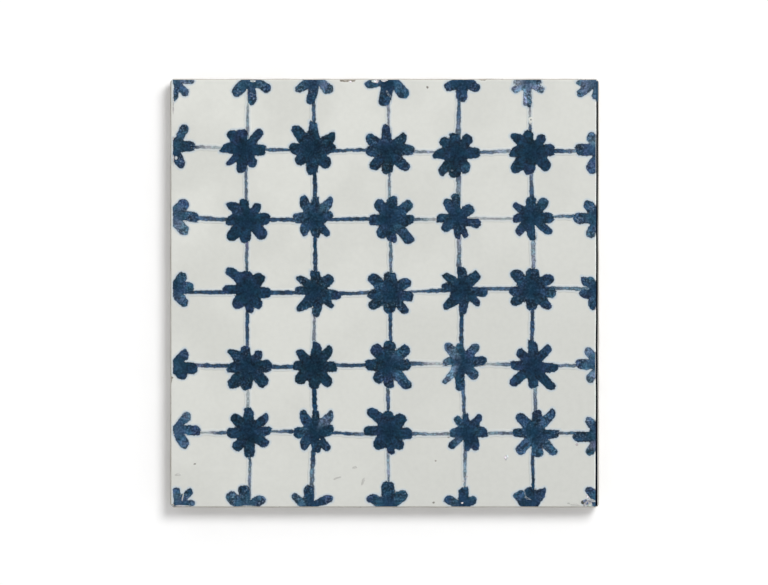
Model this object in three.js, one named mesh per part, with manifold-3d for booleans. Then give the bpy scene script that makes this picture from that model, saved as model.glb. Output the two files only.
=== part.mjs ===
// A square floor tile of pressed clay, tin glazed and painted by hand in cobalt.
// Millimetres. The tile lies on its back with the painted face up (+Z), the top of the pattern towards +Y,
// and the origin at the middle of the underside.

import * as THREE from 'three';
import { mergeVertices } from 'three/addons/utils/BufferGeometryUtils.js';
import Module from 'manifold-3d';

const wasm = await Module();
wasm.setup();

// Clay slab
const tileSide = 200;
const clayThickness = 9.1;
const backChamfer = 1.5;
const keyGrooves = 10;
const keyGrooveWidth = 5;
const keyGrooveDepth = 1.2;

// Glaze coat, whose rolled arris is a small flat chamfer here
const glazeThickness = 0.8;
const arrisWidth = 0.5;

// Painted colour
const flowersPerSide = 7;
const flowerRelief = 0.1;
const dabRootShare = 0.95;
const dabArcSteps = 2;
const lineDepth = 0.12;
const lineEndMargin = 2;
const edgeLineWidth = 0.3;
const edgeLineDepth = 0.6;
const edgeLineStart = 10;

// Clear height by which a cutting solid runs past what it cuts
const cutOverrun = 1;

const half = tileSide / 2;
const flatHalf = half - arrisWidth;
const faceHeight = clayThickness + glazeThickness;
const pitch = tileSide / (flowersPerSide - 1);
const middle = (flowersPerSide - 1) / 2;
const columns = ['A', 'B', 'C', 'D', 'E', 'F', 'G'];

// Each flower: how far its hub drifts from its crossing, right and up, and its brush dabs.
// A dab is [direction in degrees from +X, reach of its tip from the hub, width near the tip].
const flowers = {
  A1: { drift: [1, 0], dabs: [[-4, 10.7, 3.4], [-48, 9.7, 3.6], [-85, 9.8, 2.6]] },
  B1: { drift: [3.7, -1], dabs: [[216, 9.7, 4.8], [276, 10.7, 4.4], [-22, 10, 4.4]] },
  C1: { drift: [0.3, -0.5], dabs: [[207, 9.8, 3.8], [263, 11.2, 4.6], [-32, 10.1, 4.6]] },
  D1: { drift: [2, -0.5], dabs: [[188, 11.2, 3.8], [259, 12.1, 5.6], [-40, 11.5, 5.2]] },
  E1: { drift: [2.7, -1], dabs: [[199, 8.8, 4.6], [270, 9.6, 5.3], [-20, 9.2, 4.8]] },
  F1: { drift: [0.3, -1], dabs: [[180, 7.2, 3.4], [211, 8.3, 4], [268, 11.3, 4.6], [-25, 8.7, 4.5], [2, 6.3, 3.4]] },
  G1: { drift: [-0.5, -1], dabs: [[182, 9.7, 2.8], [215, 11, 4.2], [264, 9.1, 4.2]] },

  A2: { drift: [2, 1.8], dabs: [[2, 9.8, 4.8], [64, 11.6, 3.7], [-73, 10.5, 3.6]] },
  B2: { drift: [0.7, 0.8], dabs: [[-2, 10.6, 5.2], [46, 12.2, 3.6], [97, 9.4, 5.2], [133, 11, 4.4],
    [183, 11.4, 4.4], [222, 10.7, 2.6], [261, 11.2, 4.8], [-58, 9.7, 4.6]] },
  C2: { drift: [-0.7, 1.3], dabs: [[-3, 11.2, 4.8], [36, 12.6, 4.2], [86, 12.6, 4], [132, 13.4, 4.4],
    [180, 11, 4.6], [226, 10.4, 5], [267, 12.4, 5.4], [-46, 12.1, 5]] },
  D2: { drift: [2, 0.3], dabs: [[0, 12.3, 4.8], [44, 10.8, 4.2], [96, 12, 4.2], [145, 12.6, 4.6],
    [187, 10.9, 4.4], [225, 12, 4.6], [267, 11.4, 5.2], [-44, 13.2, 4.6]] },
  E2: { drift: [0.7, -1.2], dabs: [[0, 10.5, 5], [52, 10.6, 4.6], [104, 9.9, 4], [138, 10.3, 4.4],
    [185, 11.7, 4.4], [232, 12.8, 4], [260, 11.6, 4.4], [-59, 10.4, 4.6]] },
  F2: { drift: [2.3, -0.2], dabs: [[3, 10.9, 5.4], [52, 9.7, 3.8], [100, 10.2, 4.6], [141, 12.8, 4.2],
    [181, 10.6, 5], [226, 13.2, 5], [263, 11.2, 5], [-46, 11.9, 5.2]] },
  G2: { drift: [-1, 0.3], dabs: [[108, 8.8, 4.4], [179, 9.8, 5.4], [257, 11.1, 4.6]] },

  A3: { drift: [2, 2.7], dabs: [[-2, 11.2, 5], [52, 9.3, 4.6], [-58, 9.9, 4.6]] },
  B3: { drift: [1.7, 1.2], dabs: [[1, 11.4, 5.2], [48, 9.9, 4.4], [94, 9.7, 4.4], [138, 12, 4],
    [181, 9.6, 5], [228, 12.5, 5], [268, 11.1, 5.2], [-43, 12.6, 5.4]] },
  C3: { drift: [0.3, 2.2], dabs: [[2, 9, 5.2], [50, 12.6, 4], [88, 10.5, 3.8], [121, 11.7, 3.8],
    [181, 10, 4.6], [238, 10.2, 4.2], [277, 9.8, 4.4], [-52, 11, 4]] },
  D3: { drift: [2.5, 1.7], dabs: [[-2, 11.7, 4.4], [39, 13, 4.6], [84, 10.4, 4.6], [130, 10.6, 4.8],
    [183, 10.1, 4.6], [237, 10.2, 4.8], [278, 11.3, 4.4], [-45, 15.2, 4.6]] },
  E3: { drift: [1.2, 2.2], dabs: [[-17, 11.4, 4.2], [40, 9.2, 5], [100, 11.3, 4], [129, 10.3, 4.6],
    [182, 10.9, 4.4], [221, 9.4, 4.6], [268, 10.9, 3.6], [-65, 10.1, 4]] },
  F3: { drift: [2.3, 2.2], dabs: [[0, 10.5, 4.8], [50, 11.2, 4.6], [91, 10, 4.6], [143, 10.9, 4],
    [181, 9.4, 4.4], [230, 10.6, 4.4], [271, 10.9, 4.4], [-41, 11.8, 4.4]] },
  G3: { drift: [-1, 1.7], dabs: [[96, 8.4, 3.6], [121, 9.5, 4.4], [180, 11, 5], [246, 9.6, 4.4]] },

  A4: { drift: [1.5, 2.5], dabs: [[2, 9, 4.8], [54, 8.7, 4.6], [-55, 10.4, 4.4]] },
  B4: { drift: [2.7, 2], dabs: [[-9, 11.4, 4.8], [42, 9.9, 5.4], [95, 9, 4.8], [138, 13.6, 4.4],
    [181, 11.6, 4.4], [234, 10.8, 4.8], [274, 11.5, 4.4], [-54, 10.6, 4.6]] },
  C4: { drift: [0.3, 0.5], dabs: [[-7, 12.6, 4.4], [39, 11.3, 4.6], [88, 10.5, 4.8], [139, 11, 3.8],
    [176, 9.3, 4], [228, 12, 4], [274, 12.2, 4.2], [-41, 11.6, 3.8]] },
  D4: { drift: [3, 0.5], dabs: [[-9, 10.5, 5.2], [32, 10.6, 4.8], [91, 10, 5.4], [142, 12.8, 5.2],
    [185, 11.3, 4.8], [216, 12.4, 4.6], [267, 10.1, 5.4], [-51, 12.5, 4.4]] },
  E4: { drift: [2.7, 1.5], dabs: [[-7, 12.4, 4.4], [45, 11.9, 4.4], [92, 11, 4.6], [139, 11.6, 4],
    [175, 9.5, 4], [227, 12, 4.2], [271, 11.3, 4.4], [-41, 11.3, 4]] },
  F4: { drift: [2.3, 2], dabs: [[-8, 11.4, 4.8], [31, 11.6, 4.6], [89, 10.1, 5.8], [139, 12.4, 4.8],
    [185, 11, 4.8], [217, 11.9, 4.8], [270, 10.2, 5.4], [-46, 12.8, 4.4]] },
  G4: { drift: [-1, 1], dabs: [[106, 7.2, 4.4], [137, 9.2, 4.8], [190, 7.9, 3.6], [257, 9.2, 4]] },

  A5: { drift: [2, -0.2], dabs: [[-8, 10.4, 5.8], [50, 8.8, 4.4], [-60, 8, 5.2]] },
  B5: { drift: [2.7, -1.2], dabs: [[2, 11.4, 5.4], [49, 9.6, 4], [96, 9.8, 4.4], [140, 12, 4.2],
    [182, 9.8, 4.4], [226, 12.9, 4.8], [266, 11.2, 5], [-45, 12.2, 5.2]] },
  C5: { drift: [0.3, -0.7], dabs: [[-2, 10.8, 4.8], [49, 12.2, 4], [88, 11.8, 4], [140, 10.8, 4.6],
    [180, 10.4, 4.4], [222, 11.6, 4.8], [269, 10.2, 5], [-50, 12.2, 4.8]] },
  D5: { drift: [2.5, -0.2], dabs: [[-1, 10.1, 5.2], [42, 12.2, 5], [90, 11.6, 5.4], [133, 12.1, 5.2],
    [178, 11.6, 5], [231, 10.6, 5], [270, 10.5, 5], [-49, 14.4, 5]] },
  E5: { drift: [3.2, 0.3], dabs: [[4, 11.5, 4.4], [49, 11.6, 4.4], [95, 9.8, 3.8], [132, 12.2, 4.4],
    [175, 9.6, 4], [226, 12.6, 3.2], [265, 12.8, 4.2], [-47, 9.8, 4.6]] },
  F5: { drift: [3.3, -0.7], dabs: [[-4, 11.7, 4.4], [50, 12.2, 4], [96, 12.4, 4.2], [137, 10.9, 4.2],
    [180, 10.9, 4.2], [219, 14.2, 4.4], [268, 10.5, 4.4], [-50, 14.4, 4.4]] },
  G5: { drift: [-1, -0.2], dabs: [[122, 9, 4.4], [179, 10, 4.8], [246, 9, 4.6]] },

  A6: { drift: [2, 2.2], dabs: [[1, 12, 4.8], [51, 10.5, 4.6], [-55, 9.7, 4.6]] },
  B6: { drift: [3.2, 1.7], dabs: [[1, 10.6, 4.6], [43, 12.2, 4], [92, 11.8, 4.4], [137, 11.2, 4.6],
    [181, 11.1, 4.6], [230, 10.8, 4.8], [271, 11.5, 4.8], [-34, 10.7, 4.6]] },
  C6: { drift: [0.8, 1.7], dabs: [[2, 8.7, 5], [51, 12.4, 4], [90, 11, 3.6], [123, 12, 4],
    [181, 10.2, 4.8], [234, 10.2, 4.4], [276, 9.8, 4.2], [-52, 11, 4]] },
  D6: { drift: [1.5, 1.7], dabs: [[-2, 12, 5], [43, 10.9, 5.4], [89, 9.9, 5], [133, 14.1, 4.8],
    [178, 11.3, 4.4], [231, 9.7, 4.8], [278, 10.5, 4.4], [-49, 10.2, 4.8]] },
  E6: { drift: [5.2, 0.7], dabs: [[5, 9.8, 5], [52, 11.3, 3.8], [95, 9.8, 3.4], [123, 9.6, 3.8],
    [178, 7.8, 4.8], [217, 10.7, 3.4], [272, 7.7, 4.4], [-56, 9.3, 4.8]] },
  F6: { drift: [4.3, 0.7], dabs: [[0, 11.2, 4.4], [54, 14.6, 3.6], [88, 11.8, 4.8], [134, 12.9, 4.6],
    [178, 11.1, 4.2], [225, 12.5, 4.4], [277, 10.9, 4], [-45, 13.3, 4.4]] },
  G6: { drift: [-1, 0.2], dabs: [[120, 9.1, 4], [184, 10.9, 4.8], [249, 9.9, 4.4]] },

  A7: { drift: [2, 1], dabs: [[4, 9.1, 3.2], [45, 10.4, 3.6], [85, 8, 4.4]] },
  B7: { drift: [2.2, 1], dabs: [[14, 9.2, 4.6], [98, 9.2, 5.2], [153, 10.6, 4.8]] },
  C7: { drift: [-0.7, 0.5], dabs: [[20, 10.4, 3.8], [97, 9.9, 5.4], [152, 10.9, 4]] },
  D7: { drift: [1.5, 1], dabs: [[30, 10.7, 5.4], [90, 11.2, 6], [162, 10.5, 4.6]] },
  E7: { drift: [3.7, 1], dabs: [[30, 6.9, 4.2], [90, 8.1, 4.8], [162, 9.5, 4.6]] },
  F7: { drift: [1.8, 1], dabs: [[43, 9.6, 5], [92, 8.8, 5.2], [142, 9.5, 5.2]] },
  G7: { drift: [-1, 1], dabs: [[117, 8.8, 4.8], [170, 7, 2.8]] },
};

// The flowers that were painted with a thin wash, which fires to a lighter blue.
const washedFlowers = ['A3', 'A6', 'F1', 'G1', 'G2', 'G3', 'G5'];

// Brush lines across the face, rows 2 to 6 from the top. At each of the six middles between two flowers,
// drift is how far the line lies above its row, and width is the width of the stroke there.
const rowLines = [
  { drift: [1.7, 0.5, 0.5, -0.2, -0.5, -0.1], width: [1, 1.4, 1.3, 1, 1.2, 1.5] },
  { drift: [1.8, 1.2, 1.4, 1.3, 1.6, 2.7], width: [1.5, 1.5, 1.3, 1.1, 1, 1.2] },
  { drift: [0.6, 0.1, 0, 1.1, 2.2, 2.2], width: [1.4, 1.6, 1.5, 1.4, 1.5, 1.4] },
  { drift: [-0.3, -1.2, -0.3, 0.2, -0.1, -0.4], width: [1.5, 1.5, 1.5, 1.2, 1.2, 1.3] },
  { drift: [1.2, 2.1, 1.2, 0.9, 1.2, 1.3], width: [0.9, 1, 1.1, 1.1, 1.2, 1.3] },
];

// Brush lines up the face, columns B to F, read from the top: drift is to the right of the column.
const columnLines = [
  { drift: [2.5, 1.6, 2, 2.3, 2.6, 3.5], width: [1.1, 1.2, 1.2, 1.6, 0.9, 1.3] },
  { drift: [0.2, 0.5, 0.8, 0.3, 0.6, -0.6], width: [1.8, 2, 1.8, 1.1, 2, 2] },
  { drift: [2, 2.3, 3, 2.5, 1.5, 1.7], width: [1.1, 1, 1.3, 1.6, 1.4, 1.1] },
  { drift: [1.3, 1.4, 1.7, 2.7, 3.7, 4.3], width: [1.8, 1.8, 1.5, 1.8, 1.6, 1.3] },
  { drift: [1.4, 2.2, 2.9, 2.3, 4, 2.7], width: [1, 1.8, 1.5, 1.7, 1.3, 1.6] },
];

// Colours and finishes
const biscuit = { color: 0xc9b9a0, roughness: 0.95, metalness: 0 };
const tinGlaze = { color: 0xd7d9d3, roughness: 0.35, metalness: 0 };
const cobalt = { color: 0x203549, roughness: 0.4, metalness: 0 };
const cobaltWash = { color: 0x55708a, roughness: 0.4, metalness: 0 };
const lineBlue = { color: 0x40597a, roughness: 0.4, metalness: 0 };
const edgeBlue = { color: 0x161b2c, roughness: 0.4, metalness: 0 };

// A closed geometry as a solid that can be joined and cut.
function solidOf(geometry) {
  geometry.deleteAttribute('normal');
  geometry.deleteAttribute('uv');
  const welded = mergeVertices(geometry);
  return new wasm.Manifold(new wasm.Mesh({
    numProp: 3,
    vertProperties: welded.attributes.position.array,
    triVerts: new Uint32Array(welded.index.array),
  }));
}

// A solid as a named mesh.
function meshOf(name, solid, finish) {
  const { vertProperties, triVerts } = solid.getMesh();
  const geometry = new THREE.BufferGeometry();
  geometry.setAttribute('position', new THREE.BufferAttribute(vertProperties, 3));
  geometry.setIndex(new THREE.BufferAttribute(triVerts, 1));
  geometry.computeVertexNormals();
  const mesh = new THREE.Mesh(geometry, new THREE.MeshStandardMaterial(finish));
  mesh.name = name;
  return mesh;
}

// A box between two corners.
function boxSolid([x0, y0, z0], [x1, y1, z1]) {
  const box = new THREE.BoxGeometry(x1 - x0, y1 - y0, z1 - z0);
  return solidOf(box.translate((x0 + x1) / 2, (y0 + y1) / 2, (z0 + z1) / 2));
}

// A slab that is square at every level, from pairs of half side and height, lowest first.
function squareSlab(levels) {
  const corners = [[-1, -1], [1, -1], [1, 1], [-1, 1]];
  const positions = levels.flatMap(([reach, z]) => corners.flatMap(([x, y]) => [x * reach, y * reach, z]));
  const faces = [0, 2, 1, 0, 3, 2];
  for (let level = 0; level + 1 < levels.length; level += 1) {
    for (let side = 0; side < 4; side += 1) {
      const a = 4 * level + side;
      const b = 4 * level + (side + 1) % 4;
      faces.push(a, b, b + 4, a, b + 4, a + 4);
    }
  }
  const top = 4 * (levels.length - 1);
  faces.push(top, top + 1, top + 2, top, top + 2, top + 3);
  const geometry = new THREE.BufferGeometry();
  geometry.setAttribute('position', new THREE.Float32BufferAttribute(positions, 3));
  geometry.setIndex(faces);
  return solidOf(geometry);
}

// A flat shape drawn out upwards from a height.
function plateSolid(shape, z, thickness) {
  const options = { depth: thickness, bevelEnabled: false, curveSegments: dabArcSteps };
  return solidOf(new THREE.ExtrudeGeometry(shape, options).translate(0, 0, z));
}

// The pressed slab, chamfered round its back edge and grooved along Y so that the bed mortar keys in.
// An even number of grooves leaves a land in the middle.
function clayBody() {
  const lowest = half - backChamfer;
  let body = squareSlab([[lowest, 0], [half, backChamfer], [half, clayThickness]]);
  const spacing = tileSide / (keyGrooves + 1);
  for (let i = 0; i < keyGrooves; i += 1) {
    const x = (i - (keyGrooves - 1) / 2) * spacing;
    body = body.subtract(boxSolid(
      [x - keyGrooveWidth / 2, -half - cutOverrun, -cutOverrun],
      [x + keyGrooveWidth / 2, half + cutOverrun, keyGrooveDepth],
    ));
  }
  return body;
}

// The glaze before the lines are let into it.
function wholeGlaze() {
  return squareSlab([[half, clayThickness], [half, faceHeight - arrisWidth], [flatHalf, faceHeight]]);
}

// One brush line as a flat ribbon. place puts a point that runs along the line and across it on the face.
function lineRibbon({ drift, width }, place) {
  const end = half - lineEndMargin;
  const along = [-end, ...drift.map((_, i) => (i + 0.5 - middle) * pitch), end];
  const offset = [drift[0], ...drift, drift.at(-1)];
  const breadth = [width[0], ...width, width.at(-1)];
  const near = along.map((s, i) => place(s, offset[i] - breadth[i] / 2));
  const far = along.map((s, i) => place(s, offset[i] + breadth[i] / 2));
  return new THREE.Shape([...near, ...far.reverse()]);
}

// The ten lines as one film, from its floor in the glaze up to a given height.
function lineFilm(topHeight) {
  const rows = rowLines.map((line, i) => {
    const y = (middle - 1 - i) * pitch;
    return lineRibbon(line, (s, across) => new THREE.Vector2(s, y + across));
  });
  const uprights = columnLines.map((line, i) => {
    const x = (i + 1 - middle) * pitch;
    return lineRibbon(line, (s, across) => new THREE.Vector2(x + across, -s));
  });
  const floor = faceHeight - lineDepth;
  return [...rows, ...uprights]
    .map((ribbon) => plateSolid(ribbon, floor, topHeight - floor))
    .reduce((film, ribbon) => film.add(ribbon));
}

// The band over the right-hand arris that the edge line fills, from the first flower to the bottom edge.
function edgeBand() {
  return boxSolid(
    [flatHalf - edgeLineWidth, -half - cutOverrun, faceHeight - edgeLineDepth],
    [half + cutOverrun, half - edgeLineStart, faceHeight + cutOverrun],
  );
}

// A brush dab: it leaves the hub a little narrower than its round tip.
function dabShape(hub, [direction, reach, width]) {
  const turn = THREE.MathUtils.degToRad(direction);
  const along = new THREE.Vector2(Math.cos(turn), Math.sin(turn));
  const aside = new THREE.Vector2(-along.y, along.x).multiplyScalar(width / 2 * dabRootShare);
  const tip = along.clone().multiplyScalar(reach - width / 2).add(hub);
  const shape = new THREE.Shape();
  shape.moveTo(hub.x + aside.x, hub.y + aside.y);
  shape.lineTo(hub.x - aside.x, hub.y - aside.y);
  shape.absarc(tip.x, tip.y, width / 2, turn - Math.PI / 2, turn + Math.PI / 2, false);
  shape.closePath();
  return shape;
}

// A flower: its dabs run together at the hub, and the flat of the face bounds it.
function flowerSolid(column, row, { drift, dabs }) {
  const hub = new THREE.Vector2((column - middle) * pitch + drift[0], (middle - row) * pitch + drift[1]);
  const face = boxSolid(
    [-flatHalf, -flatHalf, faceHeight - cutOverrun],
    [flatHalf - edgeLineWidth, flatHalf, faceHeight + cutOverrun],
  );
  return dabs
    .map((dab) => plateSolid(dabShape(hub, dab), faceHeight, flowerRelief))
    .reduce((flower, dab) => flower.add(dab))
    .intersect(face);
}

const tile = new THREE.Group();

tile.add(meshOf('clay_body', clayBody(), biscuit));

const glaze = wholeGlaze();
const groovedGlaze = glaze.subtract(lineFilm(faceHeight + cutOverrun)).subtract(edgeBand());
tile.add(meshOf('glaze_coat', groovedGlaze, tinGlaze));
tile.add(meshOf('line_lattice', lineFilm(faceHeight), lineBlue));
tile.add(meshOf('edge_line', glaze.intersect(edgeBand()), edgeBlue));

for (let row = 0; row < flowersPerSide; row += 1) {
  for (let column = 0; column < flowersPerSide; column += 1) {
    const place = `${columns[column]}${row + 1}`;
    const finish = washedFlowers.includes(place) ? cobaltWash : cobalt;
    tile.add(meshOf(`star_${place}`, flowerSolid(column, row, flowers[place]), finish));
  }
}

export default tile;
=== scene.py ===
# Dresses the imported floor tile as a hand-made one: a fired clay slab, an opaque tin glaze poured over its
# face, and cobalt brushwork fired into the glaze. Lengths in the tables and the numpy code are millimetres
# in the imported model's own frame: the tile lies face up, its underside at zero and the origin at its middle.

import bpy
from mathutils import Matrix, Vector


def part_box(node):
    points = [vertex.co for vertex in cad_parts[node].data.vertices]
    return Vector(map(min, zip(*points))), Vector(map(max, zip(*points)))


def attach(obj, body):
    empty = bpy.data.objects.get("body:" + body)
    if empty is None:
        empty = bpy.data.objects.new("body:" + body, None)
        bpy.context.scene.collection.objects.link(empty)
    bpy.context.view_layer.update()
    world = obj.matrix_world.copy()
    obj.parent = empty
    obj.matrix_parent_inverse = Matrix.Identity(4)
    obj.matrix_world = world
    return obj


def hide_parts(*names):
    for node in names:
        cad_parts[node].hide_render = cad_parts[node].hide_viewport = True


bl_info = {
    "name": "Hand-painted floor tile",
    "version": (1, 0, 0),
    "blender": (4, 5, 0),
    "location": "3D View > Sidebar > Tile",
    "description": "Builds the clay, glaze and cobalt brushwork of a floor tile over its packed solids",
    "category": "Object",
}

import math

import bpy
import numpy as np

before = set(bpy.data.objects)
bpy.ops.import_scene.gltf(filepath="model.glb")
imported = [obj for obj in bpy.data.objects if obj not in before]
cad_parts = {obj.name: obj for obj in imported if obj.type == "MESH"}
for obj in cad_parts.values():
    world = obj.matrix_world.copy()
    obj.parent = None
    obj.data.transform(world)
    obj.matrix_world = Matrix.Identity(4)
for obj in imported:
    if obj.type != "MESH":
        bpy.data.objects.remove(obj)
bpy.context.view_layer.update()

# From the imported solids: half the side, the heights of the clay and the face, the edge line's upper end
MM = 0.001
clay_low, clay_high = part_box("clay_body")
glaze_low, glaze_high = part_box("glaze_coat")
edge_low, edge_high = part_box("edge_line")
HALF = glaze_high.x / MM
CLAY_TOP = clay_high.z / MM
FACE = glaze_high.z / MM
EDGE_LINE_TOP = edge_high.y / MM
BODY = "root"

# The crossings: columns A to G and rows 1 to 7 from the upper left, the outer ones on the tile's edges
COLUMNS = "ABCDEFG"
MIDDLE = (len(COLUMNS) - 1) / 2
PITCH = HALF / MIDDLE

# The underside's keying grooves, as the clay slab's solid has them
GROOVES = 10
GROOVE_WIDTH = 5
GROOVE_DEPTH = 1.2
BACK_CHAMFER = 1.5

# Heights of the rings of points down the clay's side, under the glaze
SIDE_LEVELS = (8.8, 8.0, 7.0, 6.0, 5.0, 4.0, 3.0, 2.2, 1.7, 1.4, 0.9, 0.4, 0.12)

# How far the glazed face lies under its solid's top, and how far and over what width it falls at the edges
FACE_DROP = 0.04
EDGE_FALL = 0.04
EDGE_FALL_WIDTH = 2.5

# Width along the edges over which the waves of the face fade out
WAVE_FADE = 8

# Points along a side of the glazed face, and the ripple's value where a run of glaze is longest
GLAZE_LINES = 190
LONGEST_RUN = 1.4

# Steps of the films: round a flower and out from its hub, along and across a line, round and out from a speck
FLOWER_TURNS = 300
FLOWER_RINGS = 15
PROBE_STEP = 0.15
LINE_STEP = 0.4
LINE_ACROSS = 13
SPECK_TURNS = 36
SPECK_RINGS = 6

# How far the rim of a flower or speck sinks into the face and that of a line stands over it, and how far
# below a film's top its foot lies
RIM_SINK = 0.012
LINE_RIM_LIFT = 0.012
FILM_FOOT = 0.12

# How far films stop short of the tile's left and right, and of its top and bottom, and specks of its right
SIDE_GAP = 0.12
END_GAP = 0.03
SPECK_GAP = 0.3

# How far a speck's film runs past its outline, and how much higher each next speck lies
SPECK_BLEED = 0.12
SPECK_STACK = 0.002

# Width of the bare arris at the left of the face, which the flowers' paint doesn't cover
PALE_ARRIS = 0.85

# A flower's paint: how softly one dab's wash gives way to the next, the width of a seam, how far the hub's
# wash reaches, and between which distances from the hub the paint turns from calm to mottled
DAB_BLEND = 0.3
SEAM_WIDTH = 0.35
HUB_REACH = 3.4
CALM_REACH = 2.5
MOTTLED_FROM = 7

# How far inside the tile's right-hand edge the edge line starts at its lower and its upper end, its width
# there, how far its film reaches inside it with the bead of glaze, a slight rise painted bright as a
# highlight, and how far that stands up and out
EDGE_LINE_LOWER = 1.28
EDGE_LINE_UPPER = 0.81
EDGE_LINE_LOWER_WIDTH = 1.03
EDGE_LINE_UPPER_WIDTH = 0.87
PAINTED_HIGHLIGHT_WIDTH = 0.5
EDGE_LINE_LIFT = 0.08
EDGE_LINE_OUTSET = 0.04

# How far column G's flowers stop short of the edge line where its bead, painted bright as a highlight, shows,
# and lap over it elsewhere
PAINTED_HIGHLIGHT_GAP = 0.25
EDGE_LAP = 0.05

# The photograph in pixels: its width and scale, and how far right and down of its middle the tile's lies
PHOTO_WIDTH = 768
PHOTO_PIXELS_PER_MM = 2.135
PHOTO_TILE_RIGHT = 0.65
PHOTO_TILE_DOWN = 0.65


def dab(turn, reach, width, wash, tip_wash, root=0.85, taper=0.1, shift=0.0, bend=0.0, slant=0.0, square=2.4):
    """One brush dab of a flower, in millimetres and degrees.

    turn is its direction from +X and reach how far its tip lies from the hub. wash names its colour, and
    tip_wash the one it runs into. root is its width at the hub as a share of its full width, and taper how
    much it narrows again towards its tip. shift sets its root, and bend its tip, to the left of its
    direction. slant is how steeply its tip is cut off, and square how blunt it is (2 is round).
    """
    return {"turn": turn, "reach": reach, "width": width, "wash": wash, "tip_wash": tip_wash, "root": root,
            "taper": taper, "shift": shift, "bend": bend, "slant": slant, "square": square}


def flower(right, up, core, hub_wash, grain, *dabs):
    """One flower.

    right and up are how far its hub lies from its crossing, core and hub_wash the radius and wash of its
    middle, grain how mottled and flecked it has fired (0 is smooth, 1 is coarse), and dabs its dabs.
    """
    return {"drift": (right, up), "core": core, "hub_wash": hub_wash, "grain": grain, "dabs": dabs}


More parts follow.
